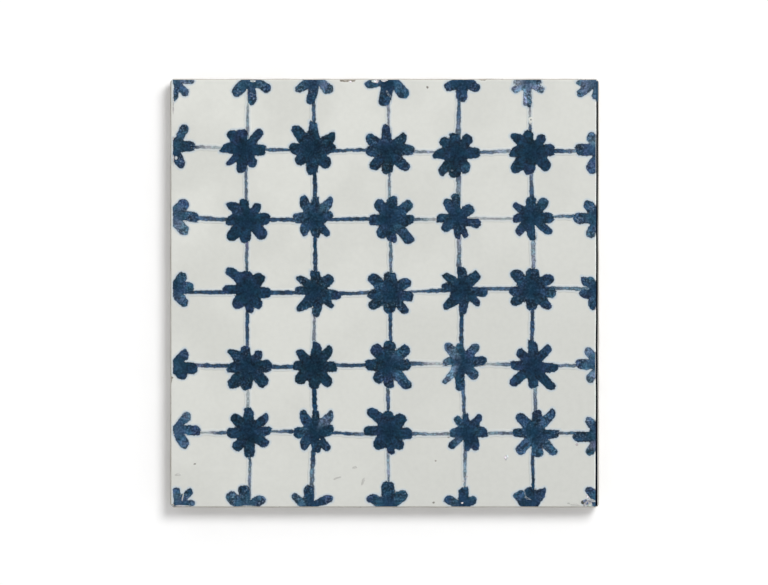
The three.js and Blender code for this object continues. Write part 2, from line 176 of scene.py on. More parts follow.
FLOWERS = {
    "A1": flower(1, 0, 1, "wash", .33,
        dab(-5, 9.9, 3.2, "pale", "pale", .8, .1, .5, .1, -.2, 2.2),
        dab(-54, 9.9, 3.6, "blue", "wash", .45, -.05, .7, 1.1, .2, 1.7),
        dab(-83, 9.7, 2.1, "violet", "wash", .95, -.1, 1.6, .1, .7, 2.4)),
    "B1": flower(3.7, -1, 3.7, "teal", .33,
        dab(216, 10.1, 5.6, "teal", "teal", .55, .1, -1.2, 0, -.1, 2.1),
        dab(-87, 10.9, 4.3, "violet", "blue", .6, -.05, .5, .4, .3, 1.9),
        dab(-20, 10.2, 4, "wash", "mid", .85, -.15, 1.3, -.1, 0, 2.2)),
    "C1": flower(.3, -.5, 1.8, "violet", .46,
        dab(211, 9.9, 4.7, "teal", "wash", .8, .25, -1, -.3, .2, 1.7),
        dab(-90, 11.2, 4.8, "mid", "dense", .85, .05, 0, -1.5, -.2, 3),
        dab(-35, 10, 4.3, "pale", "wash", .35, -.25, 2.2, .4, -.2, 1.7)),
    "D1": flower(2, -.5, 4.2, "dense", .2,
        dab(191, 11.4, 4.4, "teal", "teal", .45, .15, -.8, 0, .1, 1.9),
        dab(258, 12.1, 5.8, "mid", "mid", .9, 0, -.2, 0, 0, 2.9),
        dab(-45, 11.6, 5.3, "blue", "blue", .35, -.05, 2, .6, -.1, 1.7)),
    "E1": flower(2.7, -1, 3, "mid", .18,
        dab(203, 8.5, 4.9, "mid", "navy", .9, .1, -.3, -.2, .1, 2.1),
        dab(-90, 9.5, 5.4, "mid", "violet", .7, .05, .1, 0, 0, 2.6),
        dab(-27, 9.2, 5.3, "mid", "navy", .8, .15, 2.2, .4, -.2, 1.7)),
    "F1": flower(.3, -1, 2.1, "wash", .85,
        dab(192, 5.8, 4.2, "grainy", "grainy", .85, -.25, -.2, -2.5, -.7, 2.7),
        dab(219, 8.2, 2.7, "thin", "lilac", .75, -.25, 1.2, -.8, .1, 3.2),
        dab(270, 11.2, 2.2, "lilac", "lilac", 1, 0, -1, -1, 0, 3.2),
        dab(270, 12.4, 2.4, "pale", "wash", 1, .15, .9, 1, .1, 2.8),
        dab(-24, 8.6, 3.5, "lilac", "pale", .55, .1, -.2, -.8, -.1, 3.6),
        dab(5, 6.3, 3.4, "wash", "wash", .8, .1, 0, .3, .3, 2.6)),
    "G1": flower(-.5, -1, 3.7, "wash", .2,
        dab(188, 9.6, 3.2, "pale", "pale", .85, .1, .1, -.5, .5, 1.7),
        dab(213, 11.1, 4.3, "pale", "wash", .35, .15, -.3, .3, 0, 2.4),
        dab(268, 8.5, 3.6, "wash", "wash", .9, -.15, .8, -.3, -.2, 2.4)),
    "A2": flower(2, 1.8, 3.2, "teal", .4,
        dab(-1, 9.4, 5.1, "ink", "dense", 1.35, .05, .8, .5, .1, 2.1),
        dab(63, 11.6, 3.8, "teal", "teal", .35, -.15, .6, .1, -.1, 1.7),
        dab(-72, 10.5, 5.4, "navy", "navy", 1, .25, -1.8, 0, .1, 1.7)),
    "B2": flower(.7, .8, 3.7, "core", .05,
        dab(-5, 10.4, 5.4, "dense", "dense", .85, 0, .5, .2, -.1, 2.8),
        dab(45, 12.4, 4.3, "mid", "navy", .75, .05, 0, .2, -.1, 1.9),
        dab(100, 9.3, 4.6, "ink", "navy", .85, -.15, .4, -.8, -.1, 3.8),
        dab(133, 10.8, 5.6, "navy", "dense", .85, .15, -.1, -.7, -.2, 2.8),
        dab(179, 10.8, 5.2, "dense", "dense", .9, .05, .1, -.6, -.7, 2),
        dab(227, 10.9, 3.8, "navy", "navy", 1.05, .4, .6, -.7, .1, 1.7),
        dab(-90, 11.2, 5.4, "dense", "navy", .85, .05, -.4, -1, 0, 2.8),
        dab(-67, 9.7, 4.9, "dense", "navy", .85, -.05, .2, 1.2, .1, 1.7)),
    "C2": flower(-.7, 1.3, 3.5, "core", .12,
        dab(-4, 11.4, 5.7, "dense", "ink", .85, .1, -.4, .5, -.1, 1.7),
        dab(32, 12.3, 5, "ink", "ink", .85, .05, -.6, -.8, -.5, 2.5),
        dab(98, 12.6, 5.5, "ink", "blue", 1.3, .35, -1.5, -2.2, -.3, 3),
        dab(130, 13.6, 5.7, "dense", "mid", .45, .2, .6, .1, -.1, 1.7),
        dab(184, 10.9, 4.9, "core", "dense", .85, -.2, .6, 0, .3, 1.7),
        dab(226, 10.3, 5.8, "dense", "dense", .85, .1, .2, -.1, 0, 2.2),
        dab(269, 12.7, 5.8, "dense", "dense", .85, .05, .5, .2, 0, 2.3),
        dab(-47, 12, 6, "dense", "dense", .85, .05, -1.3, .1, .1, 2)),
    "D2": flower(2, .3, 3.7, "core", .18,
        dab(1, 12.2, 5.5, "ink", "teal", .9, .15, .5, -.1, .1, 1.9),
        dab(45, 10.8, 4.8, "core", "core", 1, .1, -.1, -.7, -.4, 2),
        dab(98, 12.3, 5, "navy", "navy", 1.2, .2, 1.2, -.3, -.1, 1.7),
        dab(148, 12.5, 5.2, "mid", "mid", .85, 0, 1.1, .2, .2, 1.9),
        dab(187, 11.1, 5.4, "ink", "dense", .85, .05, .4, -.5, .1, 1.7),
        dab(223, 12.1, 4.7, "dense", "dense", .85, -.1, .1, .7, .1, 2),
        dab(260, 11.3, 5.5, "ink", "ink", .85, .05, 0, .9, .1, 2.4),
        dab(-50, 13, 5.3, "dense", "navy", .95, .15, -.5, .8, -.2, 1.9)),
    "E2": flower(.7, -1.2, 3.5, "core", .08,
        dab(1, 10.9, 5.6, "dense", "dense", .95, .1, -.1, .1, 0, 2.1),
        dab(62, 10.2, 5.1, "core", "core", .85, 0, -.7, -1.1, -.1, 2.9),
        dab(94, 9.6, 4.6, "dense", "mid", .85, -.15, .1, .6, -.1, 4),
        dab(134, 10.3, 5.6, "dense", "dense", .85, .15, .3, .6, 0, 2.3),
        dab(184, 11.5, 5.6, "mid", "dense", .85, .2, .1, -.5, -.4, 2),
        dab(231, 12.7, 4.6, "ink", "teal", .85, .05, .1, -.4, -.4, 2.6),
        dab(268, 11.6, 5.8, "ink", "ink", .85, 0, -.5, -.7, 0, 3),
        dab(-66, 10.3, 4.6, "core", "teal", .9, -.2, -.1, .8, .3, 1.7)),
    "F2": flower(2.3, -.2, 5.2, "core", .03,
        dab(4, 11, 5.6, "core", "navy", .85, -.05, -.7, 0, .1, 2.3),
        dab(51, 9.6, 4, "dense", "navy", .85, -.1, -1.1, .3, 0, 1.7),
        dab(105, 10.2, 4, "ink", "dense", .85, -.2, .9, -.6, -.1, 1.9),
        dab(138, 12.4, 6, "dense", "dense", .85, .35, -.8, 0, -.5, 1.7),
        dab(184, 10.5, 6.1, "dense", "dense", .85, .15, .1, -.5, -.5, 1.8),
        dab(223, 13.4, 6, "dense", "mid", .85, .1, .4, .6, 0, 1.7),
        dab(266, 11.2, 5, "core", "navy", .85, -.05, -.8, -.5, .2, 2),
        dab(-48, 11.7, 5.5, "dense", "dense", .85, 0, .6, .3, .1, 2.3)),
    "G2": flower(-1, .3, 2.4, "blue", .35,
        dab(115, 8.7, 3.9, "thin", "wash", .9, -.25, -1.7, -.4, .3, 1.7),
        dab(184, 9.9, 5.7, "violet", "mid", .85, 0, -.4, -.7, .1, 2.2),
        dab(253, 11.3, 5, "violet", "violet", .35, -.05, 2.2, .3, -.3, 1.8)),
    "A3": flower(2, 2.7, 3.9, "wash", .34,
        dab(0, 11.4, 4.7, "teal", "blue", .85, -.05, .4, -.5, .2, 1.8),
        dab(56, 9.2, 5.5, "wash", "violet", .9, 0, 1.2, 0, 0, 1.9),
        dab(-55, 10, 4.8, "thin", "pale", .8, -.05, -1.9, -.6, 0, 1.7)),
    "B3": flower(1.7, 1.2, 5.3, "core", .02,
        dab(-2, 11.7, 5.7, "dense", "dense", .85, 0, -.5, .6, 0, 1.9),
        dab(41, 9.7, 4.1, "navy", "mid", .85, -.05, -.8, .9, 0, 1.7),
        dab(96, 9.8, 4.4, "ink", "dense", .85, 0, .4, 0, 0, 2.7),
        dab(133, 11.1, 5, "violet", "mid", .85, -.05, -.1, -.1, -.7, 2),
        dab(180, 9.5, 4.9, "ink", "mid", .85, -.05, -.3, .2, -.4, 1.9),
        dab(225, 12.7, 6.2, "dense", "dense", .8, .15, 1, .8, 0, 1.7),
        dab(269, 11.3, 5.3, "dense", "dense", .85, 0, -.7, -.1, .1, 1.8),
        dab(-39, 12.5, 5.3, "dense", "navy", .9, -.1, .7, -.7, 0, 2.2)),
    "C3": flower(.3, 2.2, 3.5, "dense", .2,
        dab(8, 9, 6.3, "mid", "mid", .75, .25, -.3, -.4, 0, 2.6),
        dab(48, 12.2, 4.8, "wash", "violet", .95, .15, -.6, -.8, -.7, 1.8),
        dab(85, 10.3, 3.8, "mid", "teal", .85, .1, -.5, .2, -.1, 2.3),
        dab(126, 11.3, 4.6, "teal", "mid", .75, -.1, .2, -.3, .5, 1.7),
        dab(180, 10, 4.9, "teal", "blue", .85, 0, -.5, .5, .1, 2.4),
        dab(240, 9.8, 4.3, "mid", "blue", .85, -.1, -2.2, -1.2, -.5, 2.2),
        dab(-85, 10, 4.9, "dense", "core", .85, .15, .1, 0, -.2, 1.7),
        dab(-51, 11.2, 4.4, "dense", "mid", .7, .3, -1, -.1, .1, 1.7)),
    "D3": flower(2.5, 1.7, 3.8, "dense", .12,
        dab(-7, 11.5, 4.9, "mid", "core", .85, -.1, -1.1, .1, -.4, 1.7),
        dab(43, 12.6, 5.3, "mid", "teal", .8, .1, -1.3, -1.3, -.1, 2.7),
        dab(90, 10.5, 6.1, "dense", "mid", .85, .15, .4, -.9, .2, 2.6),
        dab(121, 10.6, 4.6, "mid", "mid", 1.05, -.2, .6, 1.1, .2, 1.8),
        dab(186, 10.1, 5.7, "dense", "mid", .9, .1, .9, -.1, 0, 2.5),
        dab(242, 10.3, 4.7, "mid", "mid", .85, -.15, .3, -.4, -.2, 2),
        dab(-86, 11.4, 4.5, "dense", "navy", .85, -.05, -.4, .1, -.3, 2.9),
        dab(-42, 15.3, 5.1, "teal", "mid", 1.05, .05, -.2, -1.5, -.2, 2.8)),
    "E3": flower(1.2, 2.2, 3.2, "dense", .18,
        dab(-31, 10.9, 4.1, "navy", "navy", .75, -.25, -.7, 2.2, .2, 1.7),
        dab(36, 8.4, 5.2, "mid", "mid", .85, 0, -.2, .1, .1, 2.6),
        dab(98, 11.4, 4.3, "mid", "teal", .7, 0, .4, -.2, 0, 2.7),
        dab(127, 10.6, 5.5, "mid", "dense", .6, .2, -.3, 0, 0, 1.7),
        dab(174, 10.4, 3.5, "core", "dense", .85, -.25, .5, 1.3, -.3, 2.3),
        dab(217, 9.6, 5.2, "mid", "mid", .85, .15, 0, .2, -.1, 2.2),
        dab(267, 10.6, 4.1, "mid", "navy", .85, .25, -.4, .2, -.5, 2),
        dab(-64, 10.2, 3.6, "navy", "navy", .7, .2, -1.3, -.7, 0, 2.7)),
    "F3": flower(2.3, 2.2, 3.1, "dense", .11,
        dab(1, 10.5, 4.8, "dense", "mid", .85, 0, .1, -.4, .1, 1.9),
        dab(45, 11, 4.3, "ink", "teal", .85, -.2, .4, .9, 0, 1.9),
        dab(96, 10.1, 4.8, "mid", "dense", .85, 0, .8, -.4, .2, 2.3),
        dab(144, 10.7, 3.8, "mid", "navy", .9, .2, -.2, .1, .1, 2),
        dab(178, 9.3, 4.2, "dense", "navy", .85, 0, -.6, .8, -.2, 1.7),
        dab(226, 10.6, 4, "ink", "violet", .85, 0, -.3, .3, -.2, 2.7),
        dab(266, 11.2, 4.5, "mid", "mid", .9, .05, -.8, .6, -.4, 1.7),
        dab(-45, 11.9, 4.1, "mid", "mid", .7, .1, .4, .8, -.1, 1.7)),
    "G3": flower(-1, 1.7, 2.7, "teal", .45,
        dab(100, 8.2, 3.6, "dense", "mid", .8, .05, -.1, 1.2, -.3, 2.3),
        dab(121, 9.4, 3.9, "mid", "teal", .65, .1, -.6, .5, .4, 2),
        dab(178, 10.9, 4.9, "teal", "violet", .9, -.1, .1, .4, .2, 1.7),
        dab(252, 9.5, 4, "blue", "wash", .6, -.1, .4, -.3, -.1, 2.7)),
    "A4": flower(1.5, 2.5, 2.1, "mid", .31,
        dab(-3, 9.1, 6, "violet", "teal", .55, .05, .3, .2, .1, 3),
        dab(54, 8.5, 5, "teal", "teal", .9, .05, -.6, .1, 0, 1.8),
        dab(-60, 10.3, 5.1, "wash", "teal", .35, .15, -.9, .4, 0, 1.7)),
    "B4": flower(2.7, 2, 3.6, "core", .02,
        dab(-10, 11.5, 5.4, "dense", "dense", .9, .1, -2.2, -.2, .1, 1.7),
        dab(52, 9.4, 6.5, "mid", "ink", .85, .1, -.9, -.8, .2, 2.5),
        dab(95, 8.7, 5.2, "mid", "navy", .85, -.1, .1, .5, .1, 2.2),
        dab(124, 13.5, 4.7, "mid", "mid", 1.35, -.05, .2, 2.1, -.2, 1.8),
        dab(185, 12.2, 4.6, "dense", "navy", 1.35, .1, .2, -.5, -.3, 2.1),
        dab(233, 11, 5.5, "dense", "navy", .85, 0, 0, .2, 0, 1.9),
        dab(-83, 11.5, 4.9, "dense", "navy", .85, .2, -.4, -.6, -.1, 2.7),
        dab(-58, 10.7, 4.6, "dense", "mid", .85, 0, -.4, .3, .2, 1.7)),
    "C4": flower(.3, .5, 4.3, "core", .24,
        dab(-8, 13.1, 4.7, "dense", "navy", .85, .1, 0, 0, -.3, 2.2),
        dab(40, 11.3, 5.7, "ink", "dense", .85, .1, .6, .1, 0, 2.2),
        dab(93, 10.2, 3.9, "ink", "dense", .85, -.25, -1.6, -1, -.2, 3.6),
        dab(129, 10.5, 4.2, "dense", "dense", .9, .1, -.7, .9, -.4, 2.3),
        dab(175, 9.3, 3.8, "ink", "violet", .9, -.1, -.2, -.1, -.2, 2),
        dab(236, 11.7, 5.8, "dense", "dense", 1.35, .35, 1.7, -1, .3, 1.7),
        dab(-74, 11.6, 4.8, "dense", "teal", .85, -.05, 1.5, -1.3, .5, 1.7),
        dab(-38, 11.3, 3.8, "dense", "dense", .85, .25, 1.1, -.1, 0, 2.6)),
    "D4": flower(3, .5, 3.5, "dense", .25,
        dab(-2, 10.4, 4.9, "navy", "dense", .85, -.05, -1.8, -1.5, 0, 3.9),
        dab(32, 10.6, 5, "dense", "mid", .85, -.05, .1, .1, .2, 1.7),
        dab(96, 9.6, 6.4, "dense", "dense", .85, .05, -.2, -.4, -.1, 2.4),
        dab(137, 12.7, 5.4, "mid", "mid", .85, 0, 2.2, .9, -.2, 2.1),
        dab(185, 11.4, 5.4, "mid", "core", .85, .2, -.1, .3, -.1, 1.7),
        dab(217, 12.6, 5.4, "dense", "ink", .85, .2, .2, -.2, .1, 2.1),
        dab(265, 10.5, 6.6, "ink", "dense", .85, .15, .5, -.2, 0, 1.7),
        dab(-57, 12.3, 4.4, "core", "navy", .85, .1, -.1, .5, -.3, 2.3)),
    "E4": flower(2.7, 1.5, 5.1, "core", .15,
        dab(-6, 12.4, 4.4, "dense", "mid", 1.05, -.05, -.4, .1, -.2, 2.6),
        dab(43, 11.2, 5.7, "dense", "dense", .9, .15, 1, .2, -.1, 3.8),
        dab(93, 11.1, 4.4, "ink", "dense", .85, -.15, -.8, -.6, -.5, 2.4),
        dab(131, 11.1, 4.6, "dense", "ink", .8, .25, -.2, 1, -.3, 3),
        dab(172, 9.6, 3.6, "core", "mid", .85, -.2, -.2, .1, -.1, 2.8),
        dab(237, 12, 5.9, "dense", "dense", 1.35, .4, .9, -1.8, -.1, 1.7),
        dab(-82, 11.8, 4.8, "mid", "mid", .7, .2, 1.3, -.8, .2, 2),
        dab(-39, 11.1, 3.6, "core", "navy", .85, .15, .8, -.2, .2, 1.9)),
    "F4": flower(2.3, 2, 3.5, "dense", .19,
        dab(-3, 11.4, 4.7, "mid", "teal", .85, -.1, -2, -1.1, -.1, 3.5),
        dab(33, 11.6, 5.2, "dense", "navy", .85, 0, .1, -.4, .1, 1.7),
        dab(94, 9.7, 6.9, "dense", "dense", .85, .1, -.1, -.8, 0, 2.8),
        dab(133, 12.3, 5.5, "mid", "mid", .9, 0, 2.2, .5, -.3, 2.1),
        dab(196, 10.4, 5, "navy", "navy", .85, -.2, .2, -.6, .6, 2),
        dab(220, 11.9, 5.1, "ink", "dense", .85, .05, -.2, -.4, .1, 1.8),
        dab(-90, 10.3, 5.9, "dense", "dense", .85, .1, -.2, 0, .1, 1.9),
        dab(-52, 12.7, 5.2, "dense", "navy", .85, .25, .5, .6, -.3, 1.9)),
    "G4": flower(-1, 1, 3.2, "mid", .3,
        dab(107, 7.3, 4.3, "teal", "teal", .85, 0, -.2, 1.3, -.2, 3.7),
        dab(147, 8.7, 3.6, "teal", "navy", .8, .05, -1.5, -.6, .7, 2.5),
        dab(195, 7.9, 4.1, "mid", "violet", .85, -.25, 1.2, -.1, .3, 1.7),
        dab(257, 9.1, 4.9, "blue", "mid", .85, .3, -.3, -.3, -.4, 1.7)),
    "A5": flower(2, -.2, 2.3, "teal", .06,
        dab(-10, 10.7, 5.6, "ink", "dense", 1, 0, -1.5, -.2, 0, 2.5),
        dab(49, 8.4, 4.3, "mid", "violet", .35, -.15, 1.1, -.3, -.4, 2.1),
        dab(-55, 8, 4.9, "ink", "mid", .75, 0, .3, -.4, -.2, 1.7)),
    "B5": flower(2.7, -1.2, 5.4, "core", .18,
        dab(-1, 11.7, 5.4, "ink", "dense", .85, -.1, .3, .6, .1, 1.7),
        dab(44, 9.5, 3.9, "navy", "navy", .85, -.1, -1, .8, 0, 1.8),
        dab(99, 10.1, 4.4, "dense", "navy", .85, -.05, .9, .1, .2, 2.6),
        dab(135, 11.8, 5.5, "dense", "dense", .85, .25, .1, .1, -.7, 1.7),
        dab(185, 10.1, 5, "dense", "mid", .85, .05, -.6, -.3, -.2, 2.5),
        dab(223, 13.1, 6.3, "ink", "dense", .85, .15, 1.4, .9, 0, 1.7),
        dab(266, 11.3, 5.2, "ink", "dense", .85, -.05, -.2, -.1, .1, 1.7),
        dab(-57, 12, 5.5, "dense", "dense", .85, -.05, 1.8, 2, .1, 2.5)),
    "C5": flower(.3, -.7, 4.9, "ink", .08,
        dab(0, 10.8, 4.9, "ink", "ink", .85, 0, -1.1, -.4, .1, 3.1),
        dab(49, 12, 4.8, "ink", "ink", .85, .1, -.9, -.7, -.5, 1.7),
        dab(88, 11.3, 5.1, "ink", "navy", 1, .1, -1, -.9, -.6, 2.8),
        dab(136, 10.7, 4.8, "ink", "dense", .9, .15, 1.2, .1, -.2, 1.9),
        dab(180, 10.2, 4.6, "ink", "ink", .85, .05, -.6, -.1, -.3, 2.7),
        dab(219, 11.5, 5.9, "ink", "ink", .85, .05, -.3, .8, .1, 1.7),
        dab(-90, 11.4, 6, "ink", "ink", .85, .15, -.3, .2, .1, 1.7),
        dab(-47, 12, 4.9, "ink", "dense", .85, 0, -.7, -.5, .1, 2.2)),
    "D5": flower(2.5, -.2, 3.5, "core", .18,
        dab(-4, 10.2, 5.4, "dense", "dense", .85, .05, -.9, .5, 0, 1.8),
        dab(45, 12.1, 5.7, "teal", "mid", .85, .1, .8, -.2, -.1, 2.3),
        dab(89, 11.5, 4.8, "ink", "dense", .85, -.2, 1.7, .3, -.1, 2),
        dab(128, 12, 5.3, "dense", "navy", .85, -.1, .1, .8, .1, 2.3),
        dab(181, 12, 5.5, "ink", "dense", .85, .05, 0, 0, .1, 1.9),
        dab(233, 10.6, 5.5, "dense", "mid", .85, .05, -.3, -.7, -.1, 2.4),
        dab(261, 11.3, 4.6, "navy", "navy", .85, -.1, -1.3, .9, -.1, 1.8),
        dab(-48, 14.3, 5.1, "blue", "mid", .9, .05, -.5, -.7, -.3, 2.2)),
    "E5": flower(3.2, .3, 4.8, "dense", .26,
        dab(4, 11.4, 4.6, "mid", "dense", .85, 0, 1, .4, -.1, 2.1),
        dab(55, 11.6, 4.4, "violet", "wash", .85, .05, .5, -.5, 0, 1.7),
        dab(95, 9.8, 3.3, "dense", "teal", .85, -.15, -.9, .5, 0, 2),
        dab(129, 12.4, 4.6, "pale", "wash", .8, .1, .3, .1, -.1, 1.7),
        dab(177, 9.4, 3.7, "teal", "pale", .85, -.15, -1.3, -.6, -.6, 2.2),
        dab(230, 12.9, 3.3, "lilac", "wash", 1.35, .3, -1, -.9, .2, 2.2),
        dab(263, 13, 4.6, "dense", "mid", .85, .05, -1.6, .2, -.1, 2.2),
        dab(-46, 9.6, 4.5, "teal", "blue", .85, -.1, -.3, .2, .1, 2)),
    "F5": flower(3.3, -.7, 3.7, "core", .05,
        dab(-6, 11.6, 4.7, "navy", "dense", 1.25, .1, -.9, .1, -.4, 2.2),
        dab(50, 12, 4.3, "mid", "mid", .8, .1, .9, .1, -.2, 2.4),
        dab(94, 12.3, 4.7, "navy", "mid", .95, .05, .1, -.1, -.5, 2),
        dab(140, 10.6, 4.6, "navy", "navy", .85, .05, .2, -.5, .1, 2.5),
        dab(181, 11.2, 4.5, "navy", "navy", .85, .05, .2, -.3, .4, 2.6),
        dab(217, 14.3, 4.7, "dense", "navy", .7, .05, -.1, .4, 0, 1.7),
        dab(264, 10.8, 4.4, "core", "mid", .85, -.1, -1, .6, 0, 2.1),
        dab(-57, 14.3, 4.5, "dense", "core", 1, .05, -.2, 1.4, -.2, 2.1)),
    "G5": flower(-1, -.2, 1.9, "blue", .4,
        dab(124, 9.1, 4.4, "wash", "pale", .9, .1, -1.6, -.5, 0, 1.7),
        dab(180, 9.9, 5.1, "wash", "violet", .6, .1, .1, -.4, 0, 1.7),
        dab(240, 8.8, 3.4, "thin", "pale", .35, -.25, 2.2, .7, -.3, 2.1)),
    "A6": flower(2, 2.2, 1, "wash", .16,
        dab(3, 11.8, 4.7, "blue", "violet", .7, 0, .4, -.4, .2, 3.4),
        dab(50, 10.5, 3.6, "blue", "pale", .35, -.25, 1, .1, -.2, 1.9),
        dab(-59, 9.6, 4.7, "blue", "wash", .55, 0, .1, .6, .2, 1.9)),
    "B6": flower(3.2, 1.7, 3.5, "core", .09,
        dab(0, 10.8, 4.7, "mid", "mid", .85, .1, -.2, .4, -.2, 1.7),
        dab(38, 11.7, 4.3, "dense", "violet", .9, .1, .3, .4, -.4, 2.4),
        dab(89, 11.8, 5.2, "dense", "mid", 1.05, .15, 1, .3, -.4, 1.7),
        dab(134, 11.3, 5.1, "dense", "dense", .85, .05, 0, .2, -.1, 1.8),
        dab(184, 10.9, 5.1, "dense", "dense", .85, 0, -.2, .1, .2, 1.7),
        dab(234, 10.9, 4.6, "dense", "dense", .85, -.1, .3, -.5, 0, 2.5),
        dab(-86, 12.2, 5.4, "ink", "mid", .9, .1, -.3, -.5, .1, 2.4),
        dab(-35, 10.7, 4.3, "core", "navy", .85, -.05, -.5, -.3, -.2, 2.5)),
    "C6": flower(.8, 1.7, 3.6, "core", .19,
        dab(6, 8.8, 5.8, "dense", "dense", .85, .1, -.3, 0, -.1, 2.5),
        dab(51, 12.1, 4.9, "pale", "wash", .9, .15, -.1, -1, -.7, 1.9),
        dab(89, 10.8, 3.9, "ink", "dense", .85, .25, -.3, 0, -.1, 1.7),
        dab(127, 11.7, 5, "mid", "mid", .75, .1, .4, -.1, .5, 1.7),
        dab(178, 10.4, 4.6, "teal", "dense", .85, -.2, -.5, .8, .1, 1.9),
        dab(236, 9.9, 4.5, "mid", "navy", .85, -.1, -1.4, -1.2, -.5, 1.9),
        dab(-87, 9.9, 5.3, "dense", "dense", .85, .2, -.2, 0, 0, 2.9),
        dab(-61, 10.9, 4.4, "mid", "mid", 1, .1, -.5, 1.2, 0, 1.7)),
    "D6": flower(1.5, 1.7, 3.6, "core", .05,
        dab(1, 11.7, 4.8, "dense", "dense", .85, -.15, -2.2, -.8, .2, 2.2),
        dab(55, 10.6, 7, "dense", "dense", .85, .15, -.7, -1.3, .1, 2.7),
        dab(89, 10.2, 5.1, "mid", "dense", .85, -.05, .2, .3, .2, 1.7),
        dab(119, 13.7, 5, "mid", "mid", 1.35, -.1, -1.1, 1.7, -.3, 1.9),
        dab(179, 11.4, 4.8, "navy", "core", 1.1, .05, -.7, -.2, -.2, 3),
        dab(241, 9.8, 6.3, "mid", "dense", .85, .05, -.4, -.6, .1, 1.7),
        dab(-85, 10.7, 4.2, "dense", "navy", .85, .1, -.4, .6, -.1, 2.9),
        dab(-54, 10.4, 5.1, "dense", "mid", .85, 0, .2, .8, .1, 1.7)),
    "E6": flower(5.2, .7, 3, "dense", .09,
        dab(9, 9.8, 4.8, "teal", "navy", .85, -.1, 1.5, -.2, .3, 2.6),
        dab(52, 11.2, 4.2, "mid", "navy", 1, .2, .3, .2, -.2, 1.7),
        dab(96, 9.7, 3.8, "mid", "mid", .85, .15, .1, -.1, .2, 2),
        dab(122, 9.6, 3.3, "blue", "blue", .85, -.1, -.9, .2, 0, 2.4),
        dab(178, 8.3, 5.4, "navy", "teal", .85, .2, -1, -.5, -.4, 2.2),
        dab(213, 10.6, 3.4, "wash", "mid", .35, 0, 0, .6, -.1, 1.7),
        dab(-86, 8.2, 3.3, "dense", "mid", .9, .1, .3, -.5, .1, 2.4),
        dab(-54, 8.9, 6.4, "dense", "navy", .95, .3, 0, .2, .4, 1.7)),
    "F6": flower(4.3, .7, 4.1, "dense", .32,
        dab(2, 11, 4.5, "mid", "core", .95, .15, -.6, -.4, -.4, 2.5),
        dab(50, 14.1, 4.6, "blue", "mid", .95, .2, 1.3, .4, -.5, 2.1),
        dab(88, 11.6, 4.6, "dense", "navy", .85, 0, -.3, 0, .1, 2),
        dab(132, 12.8, 4.9, "mid", "mid", .9, .05, -.3, .3, 0, 2),
        dab(176, 11.5, 4.6, "dense", "mid", .9, .15, -.7, .2, .2, 1.7),
        dab(225, 12.5, 4.4, "blue", "violet", .95, -.1, -.5, .1, 0, 2.6),
        dab(265, 10.8, 4.7, "mid", "blue", .85, -.25, -.4, 1.2, .1, 3.8),
        dab(-45, 13.3, 4.5, "teal", "blue", 1, .15, 0, -.3, -.2, 2.3)),
    "G6": flower(-1, .2, 3.3, "teal", .4,
        dab(117, 9.3, 4.7, "violet", "wash", .55, .2, -2, -.2, -.1, 1.8),
        dab(186, 11, 4.8, "ink", "mid", 1.2, -.1, .6, -.2, .2, 2.1),
        dab(255, 10.1, 4.2, "mauve", "teal", .65, 0, 1.5, -.8, -.1, 1.7)),
    "A7": flower(2, 1, .8, "teal", .2,
        dab(5, 9.2, 3.2, "teal", "wash", .5, .15, -.4, 0, .1, 1.7),
        dab(46, 10.4, 3.4, "wash", "mid", .35, .05, -1, -.8, -.3, 2),
        dab(85, 8, 3.6, "pale", "blue", .95, .05, -1.2, .1, 0, 2.7)),
    "B7": flower(2.2, 1, 2.3, "wash", .43,
        dab(12, 9.1, 5.5, "mid", "wash", .5, .2, -.4, .8, .2, 1.7),
        dab(84, 8.8, 5.4, "teal", "dense", .55, -.05, 1.5, 2, .1, 3.5),
        dab(167, 10.4, 5.5, "blue", "wash", .8, -.2, .6, -1.3, .2, 1.7)),
    "C7": flower(-.7, .5, 2.3, "mid", .55,
        dab(25, 10.4, 4.1, "mid", "violet", .35, .05, -.2, -.3, .2, 2),
        dab(102, 9.9, 5.3, "mid", "mid", .75, 0, 1, -.2, 0, 1.9),
        dab(157, 10.7, 4.1, "wash", "teal", .8, .15, 2.2, -.7, 0, 1.7)),
    "D7": flower(1.5, 1, 3.8, "mid", .26,
        dab(31, 10.6, 5.9, "teal", "teal", .85, .15, -.1, .1, 0, 1.9),
        dab(92, 11, 6.4, "mid", "dense", 1.05, .05, -.7, -.3, 0, 2.4),
        dab(158, 10.2, 5, "teal", "navy", .95, .05, 1.2, 0, -.4, 1.9)),
    "E7": flower(3.7, 1, 2.8, "mid", .15,
        dab(30, 6.7, 4.3, "mid", "teal", .85, .05, 0, -.5, -.2, 1.7),
        dab(90, 8.3, 4.7, "mid", "mid", .85, 0, .4, .1, .3, 2.8),
        dab(156, 9.3, 4.1, "wash", "mid", .65, -.05, 2.2, .7, -.2, 2.2)),
    "F7": flower(1.8, 1, 3.5, "mid", .25,
        dab(42, 10.2, 6.3, "navy", "navy", .95, .6, 1.3, .7, -.4, 1.7),
        dab(87, 8.3, 4.8, "mid", "dense", .85, 0, -.3, .7, .3, 4),
        dab(130, 8.7, 6.9, "ink", "blue", .85, .2, 1.1, 1.2, -.2, 4)),
    "G7": flower(-1, 1, 1, "blue", .35,
        dab(121, 9, 4.2, "blue", "violet", .35, -.05, -1.7, -1.1, -.4, 1.7),
        dab(163, 6.3, 1.9, "lilac", "violet", .7, -.2, .2, .4, -.3, 2.2)),
}


def span(drift, width, washes):
    """One stretch of a line between two flowers.

    Each of the three tells how the stretch starts, how it is halfway and how it ends: how far it lies off the
    straight and how wide it is, in millimetres, and the washes it is drawn in.
    """
    return {"drift": drift, "width": width, "washes": washes.split()}


